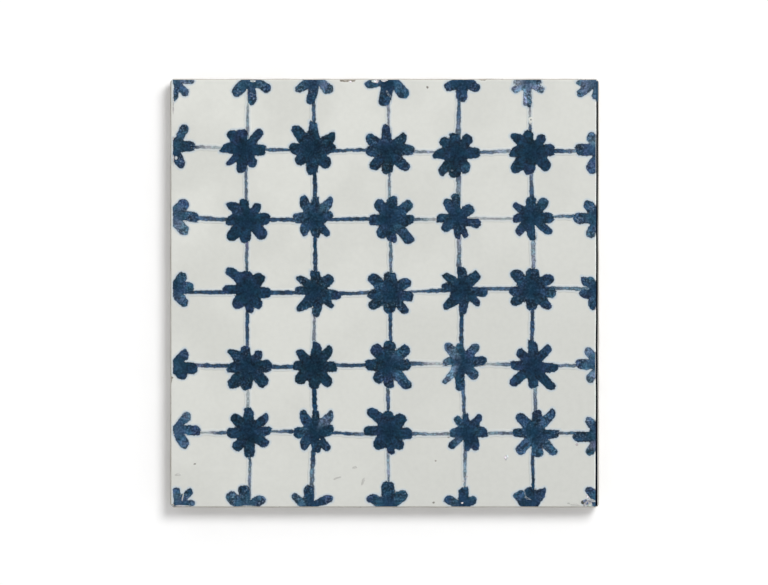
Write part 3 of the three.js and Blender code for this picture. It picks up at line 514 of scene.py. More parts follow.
# Lines across the face, rows 2 to 6 from the top, each from left to right. The first numbers are up.
ROW_LINES = [
    [span((1.8, 1.7, 1.5), (1.45, 1.3, 1.1), "steel faint faint"),
     span((.5, .5, .5), (1.55, 1.55, 1.2), "steel steel slate"),
     span((0, .2, .5), (1.6, 1.45, 1.6), "slate steel slate"),
     span((-.4, -.4, -.5), (1.15, 1.25, 1.05), "mist mist mist"),
     span((-.7, -.6, -.2), (1.55, 1.6, 1.45), "steel ash mist"),
     span((-.1, -.1, -.1), (2, 1.9, 1.8), "slate slate ash")],
    [span((1.8, 1.6, 1.2), (1.95, 2.05, 1.75), "steel steel steel"),
     span((1.1, 1.1, 1.1), (1.9, 2, 1.9), "slate slate slate"),
     span((1.2, 1.4, 1.4), (1.7, 1.7, 1.8), "slate slate slate"),
     span((1.2, 1.2, 1.2), (1.45, 1.3, 1.1), "steel ash faint"),
     span((1.7, 1.6, 1.5), (1.1, .8, 1), "faint faint faint"),
     span((2.4, 2.7, 2.6), (1.2, 1.5, 1.5), "ash ash slate")],
    [span((.5, .5, .5), (1.6, 1.7, 1.9), "slate slate slate"),
     span((.2, .2, .2), (2, 2, 2), "slate slate slate"),
     span((-.1, -.2, .1), (1.7, 1.6, 1.75), "slate slate steel"),
     span((.6, .8, 1), (1, 1.05, 1.8), "ash steel slate"),
     span((2, 2, 2), (1.75, 1.65, 1.75), "steel steel steel"),
     span((2.2, 2.3, 2.1), (1.65, 1.5, 1.6), "steel ash ash")],
    [span((-.3, -.6, -.7), (1.65, 1.8, 1.8), "mauve slate slate"),
     span((-1.2, -1.2, -1.2), (1.9, 1.9, 1.9), "slate slate slate"),
     span((-.4, -.5, -.4), (1.75, 1.7, 1.6), "steel slate slate"),
     span((.4, .3, .3), (1.95, 1.75, 1.1), "steel steel faint"),
     span((0, .1, 0), (1.2, 1.1, 1.6), "faint faint ash"),
     span((-.6, -.6, -.6), (1.45, 1.3, 1.5), "steel ash ash")],
    [span((1.3, 1.4, 1.2), (.9, .7, 1.55), "faint faint steel"),
     span((1.9, 1.9, 1.9), (1.3, 1, 1.8), "ash ash slate"),
     span((1.2, .8, .6), (1.2, 1.5, 1.5), "slate slate ash"),
     span((.8, .8, .6), (1.9, 1.4, 1.25), "slate ash mist"),
     span((1.1, 1.1, 1.1), (1.45, 1.45, 1.5), "mist mist ash"),
     span((1.1, 1.1, 1.1), (1.3, 1.3, 1.45), "ash ash steel")],
]

# Lines up the face, columns B to F, each from the top down. The first numbers are to the right.
COLUMN_LINES = [
    [span((2.7, 2.5, 2.5), (.9, 1.05, 1.45), "faint mist mist"),
     span((1.7, 1.8, 1.7), (1.3, 1.3, 1.3), "ash ash ash"),
     span((2.2, 2, 2.1), (1.35, 1.4, 1.35), "mauve ash steel"),
     span((2.4, 2.2, 2.2), (1.7, 1.6, 1.5), "slate slate slate"),
     span((2.6, 2.6, 2.6), (1.1, 1.3, 1.45), "faint faint mist"),
     span((3.6, 3.5, 3.4), (1.35, 1.25, 1.2), "steel mist ash")],
    [span((.1, .2, .1), (1.65, 1.65, 1.7), "steel steel slate"),
     span((.5, .8, .7), (1.95, 1.9, 2.1), "inky slate slate"),
     span((.7, .9, .9), (1.55, 2, 1.9), "inky slate slate"),
     span((.4, .4, .2), (1.05, 1.25, 1.55), "mist mist mist"),
     span((.4, .5, .6), (1.85, 2.35, 2.05), "inky inky inky"),
     span((-.2, -.6, -.7), (2.1, 2, 2), "slate ash ash")],
    [span((1.8, 1.8, 1.9), (1.25, 1.15, .95), "mist mist mist"),
     span((2.2, 2.2, 2.2), (1.2, 1.25, 1.25), "ash mist mist"),
     span((2.9, 2.9, 2.9), (1.5, 1.6, 1.3), "ash ash ash"),
     span((2.6, 2.7, 2.8), (1.7, 1.6, 1.5), "slate slate slate"),
     span((1.5, 1.6, 1.7), (1.5, 1.65, 1.3), "ash steel slate"),
     span((1.6, 1.9, 1.9), (1.15, 1.15, .9), "mist mist ash")],
    [span((1.5, 1.4, 1.2), (1.45, 2.05, 2), "steel steel ash"),
     span((1.3, 1.3, 1.3), (2.3, 2.15, 2.15), "slate mist mist"),
     span((1.6, 1.5, 1.6), (1.85, 2, 2.2), "mist ash ash"),
     span((2.7, 2.6, 2.6), (1.65, 1.8, 2.1), "inky slate slate"),
     span((3.4, 3.7, 3.8), (1.65, 1.55, 1.55), "steel steel steel"),
     span((4.4, 4.2, 4.2), (1.4, 1.3, .9), "ash mist mist")],
    [span((1.2, 1.3, 1.5), (1.2, .9, 1.35), "ash faint steel"),
     span((2, 2.2, 2.3), (1.5, 1.75, 2.2), "ash steel slate"),
     span((3, 3, 3.1), (1.95, 1.75, 1.5), "mist mist ash"),
     span((2.5, 2.4, 2.3), (1.6, 1.9, 1.75), "slate slate steel"),
     span((3.7, 3.8, 4), (1.55, 1.6, 1.6), "mist ash ash"),
     span((2.6, 2.8, 2.8), (1.6, 1.6, 1.35), "slate slate inky")],
]

# Flowers that stop short of the edge line, so that the bead of glaze beside it, painted bright as a highlight,
# shows
FLOWERS_SHORT_OF_PAINTED_HIGHLIGHT = ("G2", "G5")

# Parts of the way between two crossings at which a stretch starts, is halfway and ends
SPAN_SHARES = (0.34, 0.5, 0.66)

# Spots and smears in the glaze and bare places in the paint: right, up, length, width, turn in degrees, wash
SPECKS = [
    (20, 96.5, 1.0, .8, 0, "rust"), (24, -78.5, .9, .7, 0, "rust"), (-89, -80, 1.2, .8, 10, "rust"),
    (-97, -85, 3.0, 1.0, 0, "dust"), (38.5, -86, 1.1, .7, 30, "rose"), (37, -88, .9, .6, 0, "rose"),
    (57, -77, 2.6, 1.8, 40, "chalk"), (30, -67.5, .9, .6, 0, "rust"), (90, -71, 1.3, .9, 0, "rose"),
    (23, -98, 1.0, .8, 0, "rust"), (-10, -88, 3.2, 1.0, 70, "dust"), (-22, -86.5, 3.6, .8, 20, "dust"),
    (-14, -81.5, 2.2, 1.2, 0, "dust"), (-99.0, 72.7, 1.5, .5, 80, "rose"),
    (-99.0, 62.3, 4.2, .45, 88, "rose"), (-99.0, 88, 6.0, .5, 90, "rose"),
    (-97.7, 63.4, 1.5, 1.2, 70, "haze"), (36.3, -98.3, 1.0, .9, 0, "chalk"),
    (-4.3, 99.3, 2.8, 1.2, 0, "chalk"), (.1, 99.6, 3.2, .8, 0, "chalk"),
    (1.3, 94.0, 1.7, .45, -57, "blue"), (2.2, 92.7, 1.8, .75, -50, "blue"),
    (-15.9, 98.9, .9, .8, 0, "chalk"), (-30.4, -68.5, .5, .45, 0, "haze"),
    (31.7, 57.5, .8, .55, 0, "blue"), (68.5, 81.0, 3.2, 1.9, 90, "bare"), (68.5, 81.2, .6, .55, 0, "ink"),
    (-61.8, 99.3, 2.0, .6, 0, "chalk"), (92.7, -97.9, 1.5, 1.6, 0, "olive"),
    (94.0, -97.2, 1.8, 1.2, 30, "lilac"), (93.8, -98.9, 2.4, .8, 55, "haze"),
    (95.5, -97.3, 2.4, .8, 20, "haze"), (97.3, -97.3, 2.2, .9, -25, "haze"),
    # the grey speck inside the chalk arc paints the chip's bare clay with the shade of its hollow
    (95.9, -98.9, 2.4, 2.2, 0, "chip_painted_shade"), (95.2, -95.4, 2.6, .7, -50, "chalk"),
    (65.8, -94.2, 2.8, .5, -72, "blue"), (67.1, -96.1, 2.2, .55, -22, "mid"),
    (86.2, -98.4, 1.0, .7, 0, "dust"), (89.4, -99.2, 3.6, .9, 0, "dust"),
    (-94.6, -95.6, 3.0, .4, 78, "haze"), (-95.0, -99.6, 6.5, .5, 0, "haze"),
    (-64.0, -99.8, 6.0, .4, 0, "haze"),
]

# Washes whose specks lie in the paint and tint the glaze round them
COBALT_SPECKS = ("mid", "blue")

# Chips out of the arris that bare the clay: right, up, length along the edge, width, depth
CHIPS = [
    (-17.1, 100, 9.0, .9, .25), (-100, -40, 4.0, .6, .2),
    (46, 100, 3.0, .5, .2), (-99.6, -99.6, 2.0, 1.2, .3), (-60, -100, 5.0, .4, .15),
]

# How strongly a wash covers the glaze, and how grainy it has fired
WASH_BODY = {
    "core": (1.0, .04), "ink": (1.0, .04), "dense": (1.0, .06), "navy": (1.0, .12), "teal": (1.0, .14),
    "mid": (1.0, .12), "blue": (1.0, .18), "violet": (1.0, .22), "wash": (1.0, .28), "pale": (.98, .35),
    "thin": (.98, .35), "lilac": (1.0, .3), "grainy": (.92, .65), "inky": (1.0, .1),
    "slate": (.98, .25), "steel": (.95, .35), "haze": (.85, .3), "ash": (.92, .4),
    "mauve": (.92, .4), "mist": (.85, .45), "faint": (.65, .45), "bare": (0.0, 0.0),
    "edge": (1.0, 0.0), "edge_pale": (.95, .3), "painted_highlight_bead": (.85, 0.0), "rust": (.8, .3),
    "olive": (.95, .2), "dust": (.35, .4), "rose": (.6, .4), "chalk": (.95, .05), "chip_painted_shade": (.9, .1),
}


def srgb(red, green, blue):
    """The linear colour of an 8-bit screen colour: the screen's curve undone, channel by channel."""
    share = np.array([red, green, blue]) / 255
    return tuple(np.where(share <= 0.04045, share / 12.92, ((share + 0.055) / 1.055) ** 2.4).tolist())


def colour_property(name, description, red, green, blue):
    """A colour that a user can change, given as it looks on the screen."""
    return bpy.props.FloatVectorProperty(name=name, description=description, subtype="COLOR", size=3,
                                         min=0.0, max=1.0, default=srgb(red, green, blue))


def length_property(name, description, millimetres):
    """A length that a user can change, given in millimetres and kept in metres."""
    return bpy.props.FloatProperty(name=name, description=description, default=millimetres * MM,
                                   min=0.0, unit="LENGTH", precision=5)


def number_property(name, description, default, **settings):
    """A number that a user can change, with its unit and its least value."""
    return bpy.props.FloatProperty(name=name, description=description, default=default, **settings)


class TileSizes(bpy.types.PropertyGroup):
    """Small sizes of the clay, the glaze and the painted films."""
    arris_radius: length_property("Arris radius", "Round of the glaze where the face meets a side", 0.38)
    corner_radius: length_property("Corner radius", "Round of the tile's four upright corners", 0.5)
    side_recess: length_property("Side recess", "How far the bare clay stands back from the glaze", 0.15)
    side_belly: length_property("Side belly", "How far the clay bulges past the glaze down its sides", 0.6)
    side_wave: length_property("Side wave", "Depth of the hand-cut unevenness of the clay's sides", 0.12)
    run_length: length_property("Glaze runs", "How far runs of glaze reach down the sides", 1.6)
    face_wave: length_property("Face wave", "Height of the slow waves in the glazed face", 0.04)
    film_lift: length_property("Film lift", "How far a painted film stands on the glaze", 0.04)
    bleed: length_property("Bleed", "How far colour bleeds into the glaze round the paint", 1.4)
    ragged: length_property("Ragged edge", "Unevenness of the outline of a brush mark", 0.12)


class TileColours(bpy.types.PropertyGroup):
    """Colours of the clay and of the glaze."""
    clay: colour_property("Clay", "Fired clay of the slab", 168, 163, 153)
    clay_dark: colour_property("Dark clay", "Grog and iron in the clay", 118, 112, 102)
    clay_dust: colour_property("Kiln wash", "Pale bloom on the clay", 186, 182, 174)
    glaze: colour_property("Glaze", "Opaque tin glaze", 223, 224, 218)
    glaze_grey: colour_property("Grey glaze", "Tin glaze where it lies thinner", 213, 214, 208)
    # painted shade: the glaze's colour towards the lower right, darker where the face is lit less
    glaze_painted_shade: colour_property("Shaded glaze", "Tin glaze towards the tile's lower right", 206, 207, 202)
    glaze_break: colour_property("Broken glaze", "Tin glaze thinned over the arris", 206, 207, 202)
    bleed: colour_property("Bleed", "Glaze stained by the cobalt beside it", 184, 198, 209)


class PaintColours(bpy.types.PropertyGroup):
    """Colours that the cobalt washes have fired to, and those of the specks."""
    core: colour_property("Core", "Where all the dabs of a flower overlap", 17, 44, 64)
    ink: colour_property("Ink", "Thickest cobalt, nearly black", 15, 43, 61)
    dense: colour_property("Dense", "Thick cobalt", 19, 49, 71)
    navy: colour_property("Navy", "Thick cobalt that leans to violet", 29, 52, 79)
    teal: colour_property("Teal", "Half-thick cobalt that leans to green", 38, 68, 91)
    mid: colour_property("Mid blue", "Cobalt one brush load thick", 27, 56, 81)
    blue: colour_property("Bright blue", "Cobalt with a bright middle", 47, 78, 106)
    violet: colour_property("Violet", "Cobalt over-fired to violet", 42, 64, 94)
    wash: colour_property("Wash", "Thin cobalt", 55, 81, 104)
    pale: colour_property("Pale wash", "Very thin cobalt", 70, 93, 116)
    thin: colour_property("Thin wash", "Cobalt drawn out thin and pale", 90, 113, 134)
    lilac: colour_property("Lilac", "Thin cobalt that leans to violet", 109, 128, 155)
    grainy: colour_property("Grainy wash", "Dry brush of cobalt", 94, 108, 117)
    slate: colour_property("Slate line", "Line drawn with a full brush", 29, 60, 88)
    steel: colour_property("Steel line", "Line drawn with a half-full brush", 41, 72, 100)
    ash: colour_property("Ash line", "Line that has fired greyish", 71, 93, 114)
    mauve: colour_property("Mauve line", "Line that has fired to violet", 79, 88, 122)
    inky: colour_property("Inky line", "Line where the brush has rested", 13, 49, 74)
    mist: colour_property("Mist line", "Line drawn with a nearly dry brush", 105, 119, 136)
    faint: colour_property("Faint line", "Last trace of a line", 127, 132, 138)
    bare: colour_property("Bare", "A break in a line", 215, 217, 211)
    edge: colour_property("Edge line", "Line along the right-hand arris", 7, 10, 20)
    edge_pale: colour_property("Pale edge line", "Thin end of the line along the arris", 104, 122, 140)
    # painted highlight: the bead beside the edge line is coloured brighter than the glaze, in place of the
    # gloss it catches
    painted_highlight_bead: colour_property("Bead", "Bright bead of clear glaze beside the edge line", 252, 253, 250)
    rust: colour_property("Rust speck", "Iron speck in the glaze", 120, 108, 98)
    olive: colour_property("Olive speck", "Cobalt fired brown where it is thin", 54, 58, 52)
    dust: colour_property("Dust speck", "Grey smear in the glaze", 158, 158, 155)
    rose: colour_property("Rose speck", "Rosy stain in the glaze", 176, 160, 172)
    haze: colour_property("Haze speck", "Thin cobalt over bare glaze", 178, 186, 192)
    chalk: colour_property("Chalk speck", "Bare white of the glaze in the paint", 226, 230, 232)
    # painted shade: a flat grey speck inside the chip at the lower right corner, its bare clay painted with
    # the shade of its hollow
    chip_painted_shade: colour_property("Putty speck", "Grey underglaze seen in a chip", 186, 186, 182)


class StageLook(bpy.types.PropertyGroup):
    """The floor, the lights and the camera's distance."""
    floor: colour_property("Floor", "Colour of the floor", 253, 253, 253)
    floor_size: number_property("Floor size", "Side of the floor", 30.0, min=1.0, unit="LENGTH")
    camera_distance: number_property("Camera distance", "Height of the camera", 2.4, min=0.5, unit="LENGTH")
    key_turn: number_property("Key direction", "Main light, from +X", math.radians(51), unit="ROTATION")
    key_height: number_property("Key height", "Main light's angle up", math.radians(52.5), unit="ROTATION")
    key_distance: number_property("Key distance", "Main light's distance", 4.0, min=0.3, unit="LENGTH")
    key_size: number_property("Key size", "Diameter of the main light", 1.8, min=0.05, unit="LENGTH")
    key_power: number_property("Key power", "Power of the main light in watts", 102.0, min=0.0)
    sky_top: number_property("Sky overhead", "Strength of the light from overhead", 0.2, min=0.0)
    sky_side: number_property("Sky at the sides", "Strength of the side light", 1.25, min=0.0)
    floor_glow: number_property("Floor lift", "Whitens the floor to the camera", 0.05, min=0.0)


def ramp(value, low, high):
    """A smooth step: 0 below low, 1 above high, and the cubic 3t^2 - 2t^3 between them."""
    share = np.clip((value - low) / (high - low), 0, 1)
    return share * share * (3 - 2 * share)


def ripple(x, y, wavelength, seed, waves=14):
    """A smooth random height of about plus or minus 1.

    It is a sum of sine waves over the plane. Their directions and phases, and lengths from 0.7 to 1.6 times
    the wavelength, are drawn from a seeded generator.
    """
    draw = np.random.default_rng(seed)
    turn = draw.uniform(0, 2 * math.pi, waves)
    phase = draw.uniform(0, 2 * math.pi, waves)
    wave_number = 2 * math.pi / (wavelength * draw.uniform(0.7, 1.6, waves))
    across = np.asarray(x)[..., None] * np.cos(turn) + np.asarray(y)[..., None] * np.sin(turn)
    return np.sin(across * wave_number + phase).sum(-1) * math.sqrt(1 / waves)


def edge_distance(x, y, corner):
    """How far a point of the face lies inside the tile's outline, a square with rounded corners."""
    over_x = np.abs(x) - (HALF - corner)
    over_y = np.abs(y) - (HALF - corner)
    beyond = np.hypot(np.maximum(over_x, 0), np.maximum(over_y, 0))
    return corner - beyond - np.minimum(np.maximum(over_x, over_y), 0)


def held_inside(x, y, corner):
    """Points drawn in to the tile's outline where they lie past one of its rounded corners."""
    over_x = np.maximum(np.abs(x) - (HALF - corner), 0)
    over_y = np.maximum(np.abs(y) - (HALF - corner), 0)
    pull = 1 - np.minimum((corner - 0.02) / np.maximum(np.hypot(over_x, over_y), 1e-6), 1)
    return x - np.sign(x) * over_x * pull, y - np.sign(y) * over_y * pull


def face_height(x, y, sizes):
    """Height of the glazed face.

    It is the level of the face with slow waves that fade towards the sides, a slight fall near them, a
    quarter round of the arris radius at the edge, and a smooth dent at each chip.
    """
    corner = sizes.corner_radius / MM
    arris = sizes.arris_radius / MM
    inside = edge_distance(x, y, corner)
    wave = sizes.face_wave / MM * (ripple(x, y, 42, 11) + 0.3 * ripple(x, y, 11, 12))
    fall = EDGE_FALL * (1 - ramp(inside, 0, EDGE_FALL_WIDTH))
    into = np.clip(arris - inside, 0, arris)
    roll = arris - np.sqrt(arris * arris - into * into)
    return FACE - FACE_DROP + wave * ramp(inside, 0, WAVE_FADE) - fall - roll - chip_dent(x, y)


def chip_shape(x, y, chip):
    """How deep a point lies in a chip: 1 at its middle, 0 at its ragged elliptical rim."""
    right, up, length, width, _ = chip
    upright = abs(right) > abs(up)
    along, across = (y - up, x - right) if upright else (x - right, y - up)
    reach = (2 * along / length) ** 2 + (across / width) ** 2 + 0.35 * ripple(x, y, 1.6, 31)
    return 1 - ramp(reach, 0.35, 1.1)


def chip_dent(x, y):
    """Depth of the chips at a point: each chip's shape times its depth, added up."""
    return sum(chip[4] * chip_shape(x, y, chip) for chip in CHIPS)


def grid_quads(rows):
    """Quads between neighbouring rows of point numbers. Each row is closed, and the first is on top."""
    after = np.roll(rows, -1, axis=1)
    return np.stack([rows[:-1], rows[1:], after[1:], after[:-1]], axis=-1).reshape(-1, 4)


def without_twins(quads):
    """The quads, and as triangles those whose first or last side has the same point at both its ends."""
    first = quads[:, 0] == quads[:, 3]
    last = quads[:, 1] == quads[:, 2]
    whole = quads[~first & ~last]
    return [whole, quads[first & ~last][:, [0, 1, 2]], quads[last & ~first][:, [0, 1, 3]]]


def sheet_quads(count_x, count_y, first, upwards):
    """Quads of a flat grid of points numbered row by row from first, facing up or down."""
    index = first + np.arange(count_x * count_y).reshape(count_y, count_x)
    quads = np.stack([index[:-1, :-1], index[:-1, 1:], index[1:, 1:], index[1:, :-1]], axis=-1).reshape(-1, 4)
    return quads if upwards else quads[:, ::-1]


def border_loop(lines_x, lines_y, corner_steps):
    """The border of a grid, anticlockwise from its lower left: point numbers, places and outward directions.

    Each side's points look straight out. Between two sides the corner point is taken again for each of
    corner_steps - 1 directions that fan through the quarter turn, which rounds the corner of outer rings.
    """
    count_x, count_y = len(lines_x), len(lines_y)
    index = np.arange(count_x * count_y).reshape(count_y, count_x)
    sides = [index[0], index[:, -1], index[-1, ::-1], index[::-1, 0]]
    numbers, turns = [], []
    for k, side in enumerate(sides):
        look = (k - 1) * math.pi / 2
        fan = look + np.arange(1, corner_steps) / corner_steps * math.pi / 2
        numbers += [side, np.full(corner_steps - 1, side[-1])]
        turns += [np.full(len(side), look), fan]
    numbers = np.concatenate(numbers)
    turns = np.concatenate(turns)
    places = np.stack([lines_x[numbers % count_x], lines_y[numbers // count_x]], axis=-1)
    return numbers, places, np.stack([np.cos(turns), np.sin(turns)], axis=-1)


def slab_surface(lines_x, lines_y, top_height, low_height, wall, corner_steps=5):
    """A closed slab: a grid on top, a grid below, and a wall of rings between their borders.

    The wall is a function of the border's places. It gives for each ring how far it stands outside the border
    and its height, from the top down.
    """
    grid_x, grid_y = [g.ravel() for g in np.meshgrid(lines_x, lines_y)]
    numbers, places, outward = border_loop(lines_x, lines_y, corner_steps)
    outsets, heights = wall(places, outward)
    ring_xy = places + outsets[..., None] * outward
    rings = np.concatenate([ring_xy, heights[..., None]], axis=-1).reshape(-1, 3)
    top = np.stack([grid_x, grid_y, top_height(grid_x, grid_y)], axis=-1)
    low = np.stack([grid_x, grid_y, low_height(grid_x, grid_y)], axis=-1)
    points = np.concatenate([top, rings, low])
    ring_numbers = len(top) + np.arange(outsets.size).reshape(outsets.shape)
    rows = np.concatenate([numbers[None], ring_numbers, (len(top) + outsets.size + numbers)[None]])
    walls = without_twins(grid_quads(rows))
    count_x, count_y = len(lines_x), len(lines_y)
    sheets = [sheet_quads(count_x, count_y, 0, True),
              sheet_quads(count_x, count_y, len(top) + outsets.size, False)]
    return points, [*walls, *sheets]


def build(name, points, faces, material, nodes, layers=None):
    """Makes a piece of points in millimetres and arrays of faces, with its point attributes and finish."""
    mesh = bpy.data.meshes.new(name)
    mesh.from_pydata((points * MM).tolist(), [], [face for part in faces for face in part.tolist()])
    mesh.shade_smooth()
    for layer, values in (layers or {}).items():
        if values.ndim == 1:
            mesh.attributes.new(layer, "FLOAT", "POINT").data.foreach_set("value", values)
        elif layer == "pigment":
            rgba = np.concatenate([values, np.ones((len(values), 1))], axis=1)
            mesh.attributes.new(layer, "FLOAT_COLOR", "POINT").data.foreach_set("color", rgba.ravel())
        else:
            mesh.attributes.new(layer, "FLOAT_VECTOR", "POINT").data.foreach_set("vector", values.ravel())
    mesh.materials.append(material)
    piece = bpy.data.objects.new(name, mesh)
    bpy.context.scene.collection.objects.link(piece)
    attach(piece, BODY)
    if nodes:
        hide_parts(*nodes)
    return piece


class Finish:
    """A node-based material under way: each call adds a node, and links or sets the inputs it is given."""

    def __init__(self, name):
        self.material = bpy.data.materials.new(name)
        self.material.use_nodes = True
        self.tree = self.material.node_tree
        self.tree.nodes.clear()
        self.place = self.add("ShaderNodeTexCoord").outputs["Object"]

    def add(self, kind, inputs=None, **settings):
        """A new node with its settings and inputs."""
        node = self.tree.nodes.new(kind)
        for key, value in settings.items():
            setattr(node, key, value)
        for key, value in (inputs or {}).items():
            if isinstance(value, bpy.types.NodeSocket):
                self.tree.links.new(value, node.inputs[key])
            else:
                node.inputs[key].default_value = value
        return node

    def noise(self, scale, detail=2.0, vector=None, roughness=0.5):
        """Noise about 1/scale metres across at a place, or over another vector."""
        inputs = {"Vector": vector or self.place, "Scale": scale, "Detail": detail, "Roughness": roughness}
        return self.add("ShaderNodeTexNoise", inputs).outputs["Fac"]

    def remap(self, value, from_low, from_high, to_low=0.0, to_high=1.0, smooth=True):
        """A value carried from one range to another and held at its ends."""
        inputs = {"Value": value, "From Min": from_low, "From Max": from_high,
                  "To Min": to_low, "To Max": to_high}
        kind = "SMOOTHSTEP" if smooth else "LINEAR"
        return self.add("ShaderNodeMapRange", inputs, interpolation_type=kind).outputs["Result"]

    def sum(self, a, b):
        """Two values added."""
        return self.add("ShaderNodeMath", {0: a, 1: b}, operation="ADD").outputs[0]

    def product(self, a, b):
        """Two values multiplied."""
        return self.add("ShaderNodeMath", {0: a, 1: b}, operation="MULTIPLY").outputs[0]

    def less(self, a, b):
        """The first value less the second."""
        return self.add("ShaderNodeMath", {0: a, 1: b}, operation="SUBTRACT").outputs[0]

    def larger(self, a, b):
        """The larger of two values."""
        return self.add("ShaderNodeMath", {0: a, 1: b}, operation="MAXIMUM").outputs[0]

    def grey(self, value):
        """One value as all three channels of a colour."""
        return self.add("ShaderNodeCombineXYZ", {"X": value, "Y": value, "Z": value}).outputs["Vector"]

    def blend(self, share, first, second, how="MIX"):
        """Two colours mixed by a share from 0 to 1."""
        node = self.add("ShaderNodeMix", data_type="RGBA", blend_type=how)
        for socket, value in ((node.inputs[0], share), (node.inputs[6], first), (node.inputs[7], second)):
            if isinstance(value, bpy.types.NodeSocket):
                self.tree.links.new(value, socket)
            elif isinstance(value, (int, float)):
                socket.default_value = value
            else:
                socket.default_value = (*value, 1.0)
        return node.outputs[2]

    def attribute(self, name, output="Fac"):
        """One of the piece's own point attributes."""
        return self.add("ShaderNodeAttribute", attribute_name=name).outputs[output]

    def close(self, colour, roughness, height=None, depth=0.00005, specular=0.5):
        """Ends the material in one glossy surface shader, with a bump from a height of 0 to 1."""
        inputs = {"Base Color": colour, "Roughness": roughness, "Specular IOR Level": specular}
        if height is not None:
            bump = self.add("ShaderNodeBump", {"Height": height, "Strength": 1.0, "Distance": depth})
            inputs["Normal"] = bump.outputs["Normal"]
        shader = self.add("ShaderNodeBsdfPrincipled", inputs)
        self.add("ShaderNodeOutputMaterial", {"Surface": shader.outputs["BSDF"]})
        return self.material


def glaze_colour(finish, colours):
    """Colour of the tin glaze at a place: pale and grey clouds, a painted shade darker to the lower right,
    fine grain.
    """
    clouds = finish.remap(finish.noise(28, 3), 0.38, 0.64)
    tone = finish.blend(clouds, colours.glaze, colours.glaze_grey)
    split = finish.add("ShaderNodeSeparateXYZ", {"Vector": finish.place})
    # painted shade: the glaze is coloured darker towards the lower right, where the face is lit less
    lean = finish.sum(finish.product(split.outputs["X"], 5.0), finish.product(split.outputs["Y"], -3.6))
    tone = finish.blend(finish.remap(lean, -1.0, 1.0, smooth=False), tone, colours.glaze_painted_shade)
    grain = finish.remap(finish.noise(420, 3), 0.3, 0.7, 0.985, 1.012)
    tone = finish.blend(1.0, tone, finish.grey(grain), "MULTIPLY")
    out_x = finish.add("ShaderNodeMath", {0: split.outputs["X"]}, operation="ABSOLUTE").outputs[0]
    out_y = finish.add("ShaderNodeMath", {0: split.outputs["Y"]}, operation="ABSOLUTE").outputs[0]
    out = finish.larger(out_x, out_y)
    return finish.blend(finish.remap(out, (HALF - 0.4) * MM, HALF * MM, 0.0, 0.6), tone, colours.glaze_break)


def clay_finish(colours):
    """Fired clay: cloudy buff, dark grog, a pale bloom and drag marks along the sides, all from the place."""
    finish = Finish("fired clay")
    clouds = finish.remap(finish.noise(60, 4), 0.35, 0.65)
    colour = finish.blend(clouds, colours.clay, colours.clay_dust)
    grog = finish.remap(finish.noise(900, 2), 0.62, 0.7)
    colour = finish.blend(grog, colour, colours.clay_dark)
    stretched = finish.add("ShaderNodeMapping", {"Vector": finish.place, "Scale": (1.0, 1.0, 14.0)})
    drag = finish.noise(160, 4, stretched.outputs["Vector"])
    colour = finish.blend(finish.remap(drag, 0.5, 0.75, 0.0, 0.45), colour, colours.clay_dark)
    pits = finish.noise(1500, 4, roughness=0.7)
    height = finish.sum(finish.product(drag, 0.6), pits)
    return finish.close(colour, finish.remap(pits, 0.3, 0.7, 0.82, 0.97), height, depth=0.00016, specular=0.2)


def glaze_finish(colours):
    """Tin glaze: its cloudy white, bare clay in the chips, and a thin brownish break along the runs' ends."""
    finish = Finish("tin glaze")
    colour = glaze_colour(finish, colours)
    bare = finish.remap(finish.sum(finish.attribute("bare"), finish.less(finish.noise(1100), 0.5)), 0.3, 0.5)
    clay = finish.blend(finish.remap(finish.noise(1300), 0.4, 0.6), colours.clay_dark, colours.clay)
    height = finish.add("ShaderNodeSeparateXYZ", {"Vector": finish.place}).outputs["Z"]
    thin = finish.remap(height, (CLAY_TOP - 1.2) * MM, (CLAY_TOP + 0.1) * MM, 0.5, 0.0)
    colour = finish.blend(thin, colour, colours.clay_dust)
    colour = finish.blend(bare, colour, clay)
    skin = finish.noise(260, 2)
    roughness = finish.remap(bare, 0.0, 1.0, 0.28, 0.9)
    return finish.close(colour, roughness, skin, depth=0.00004, specular=0.4)


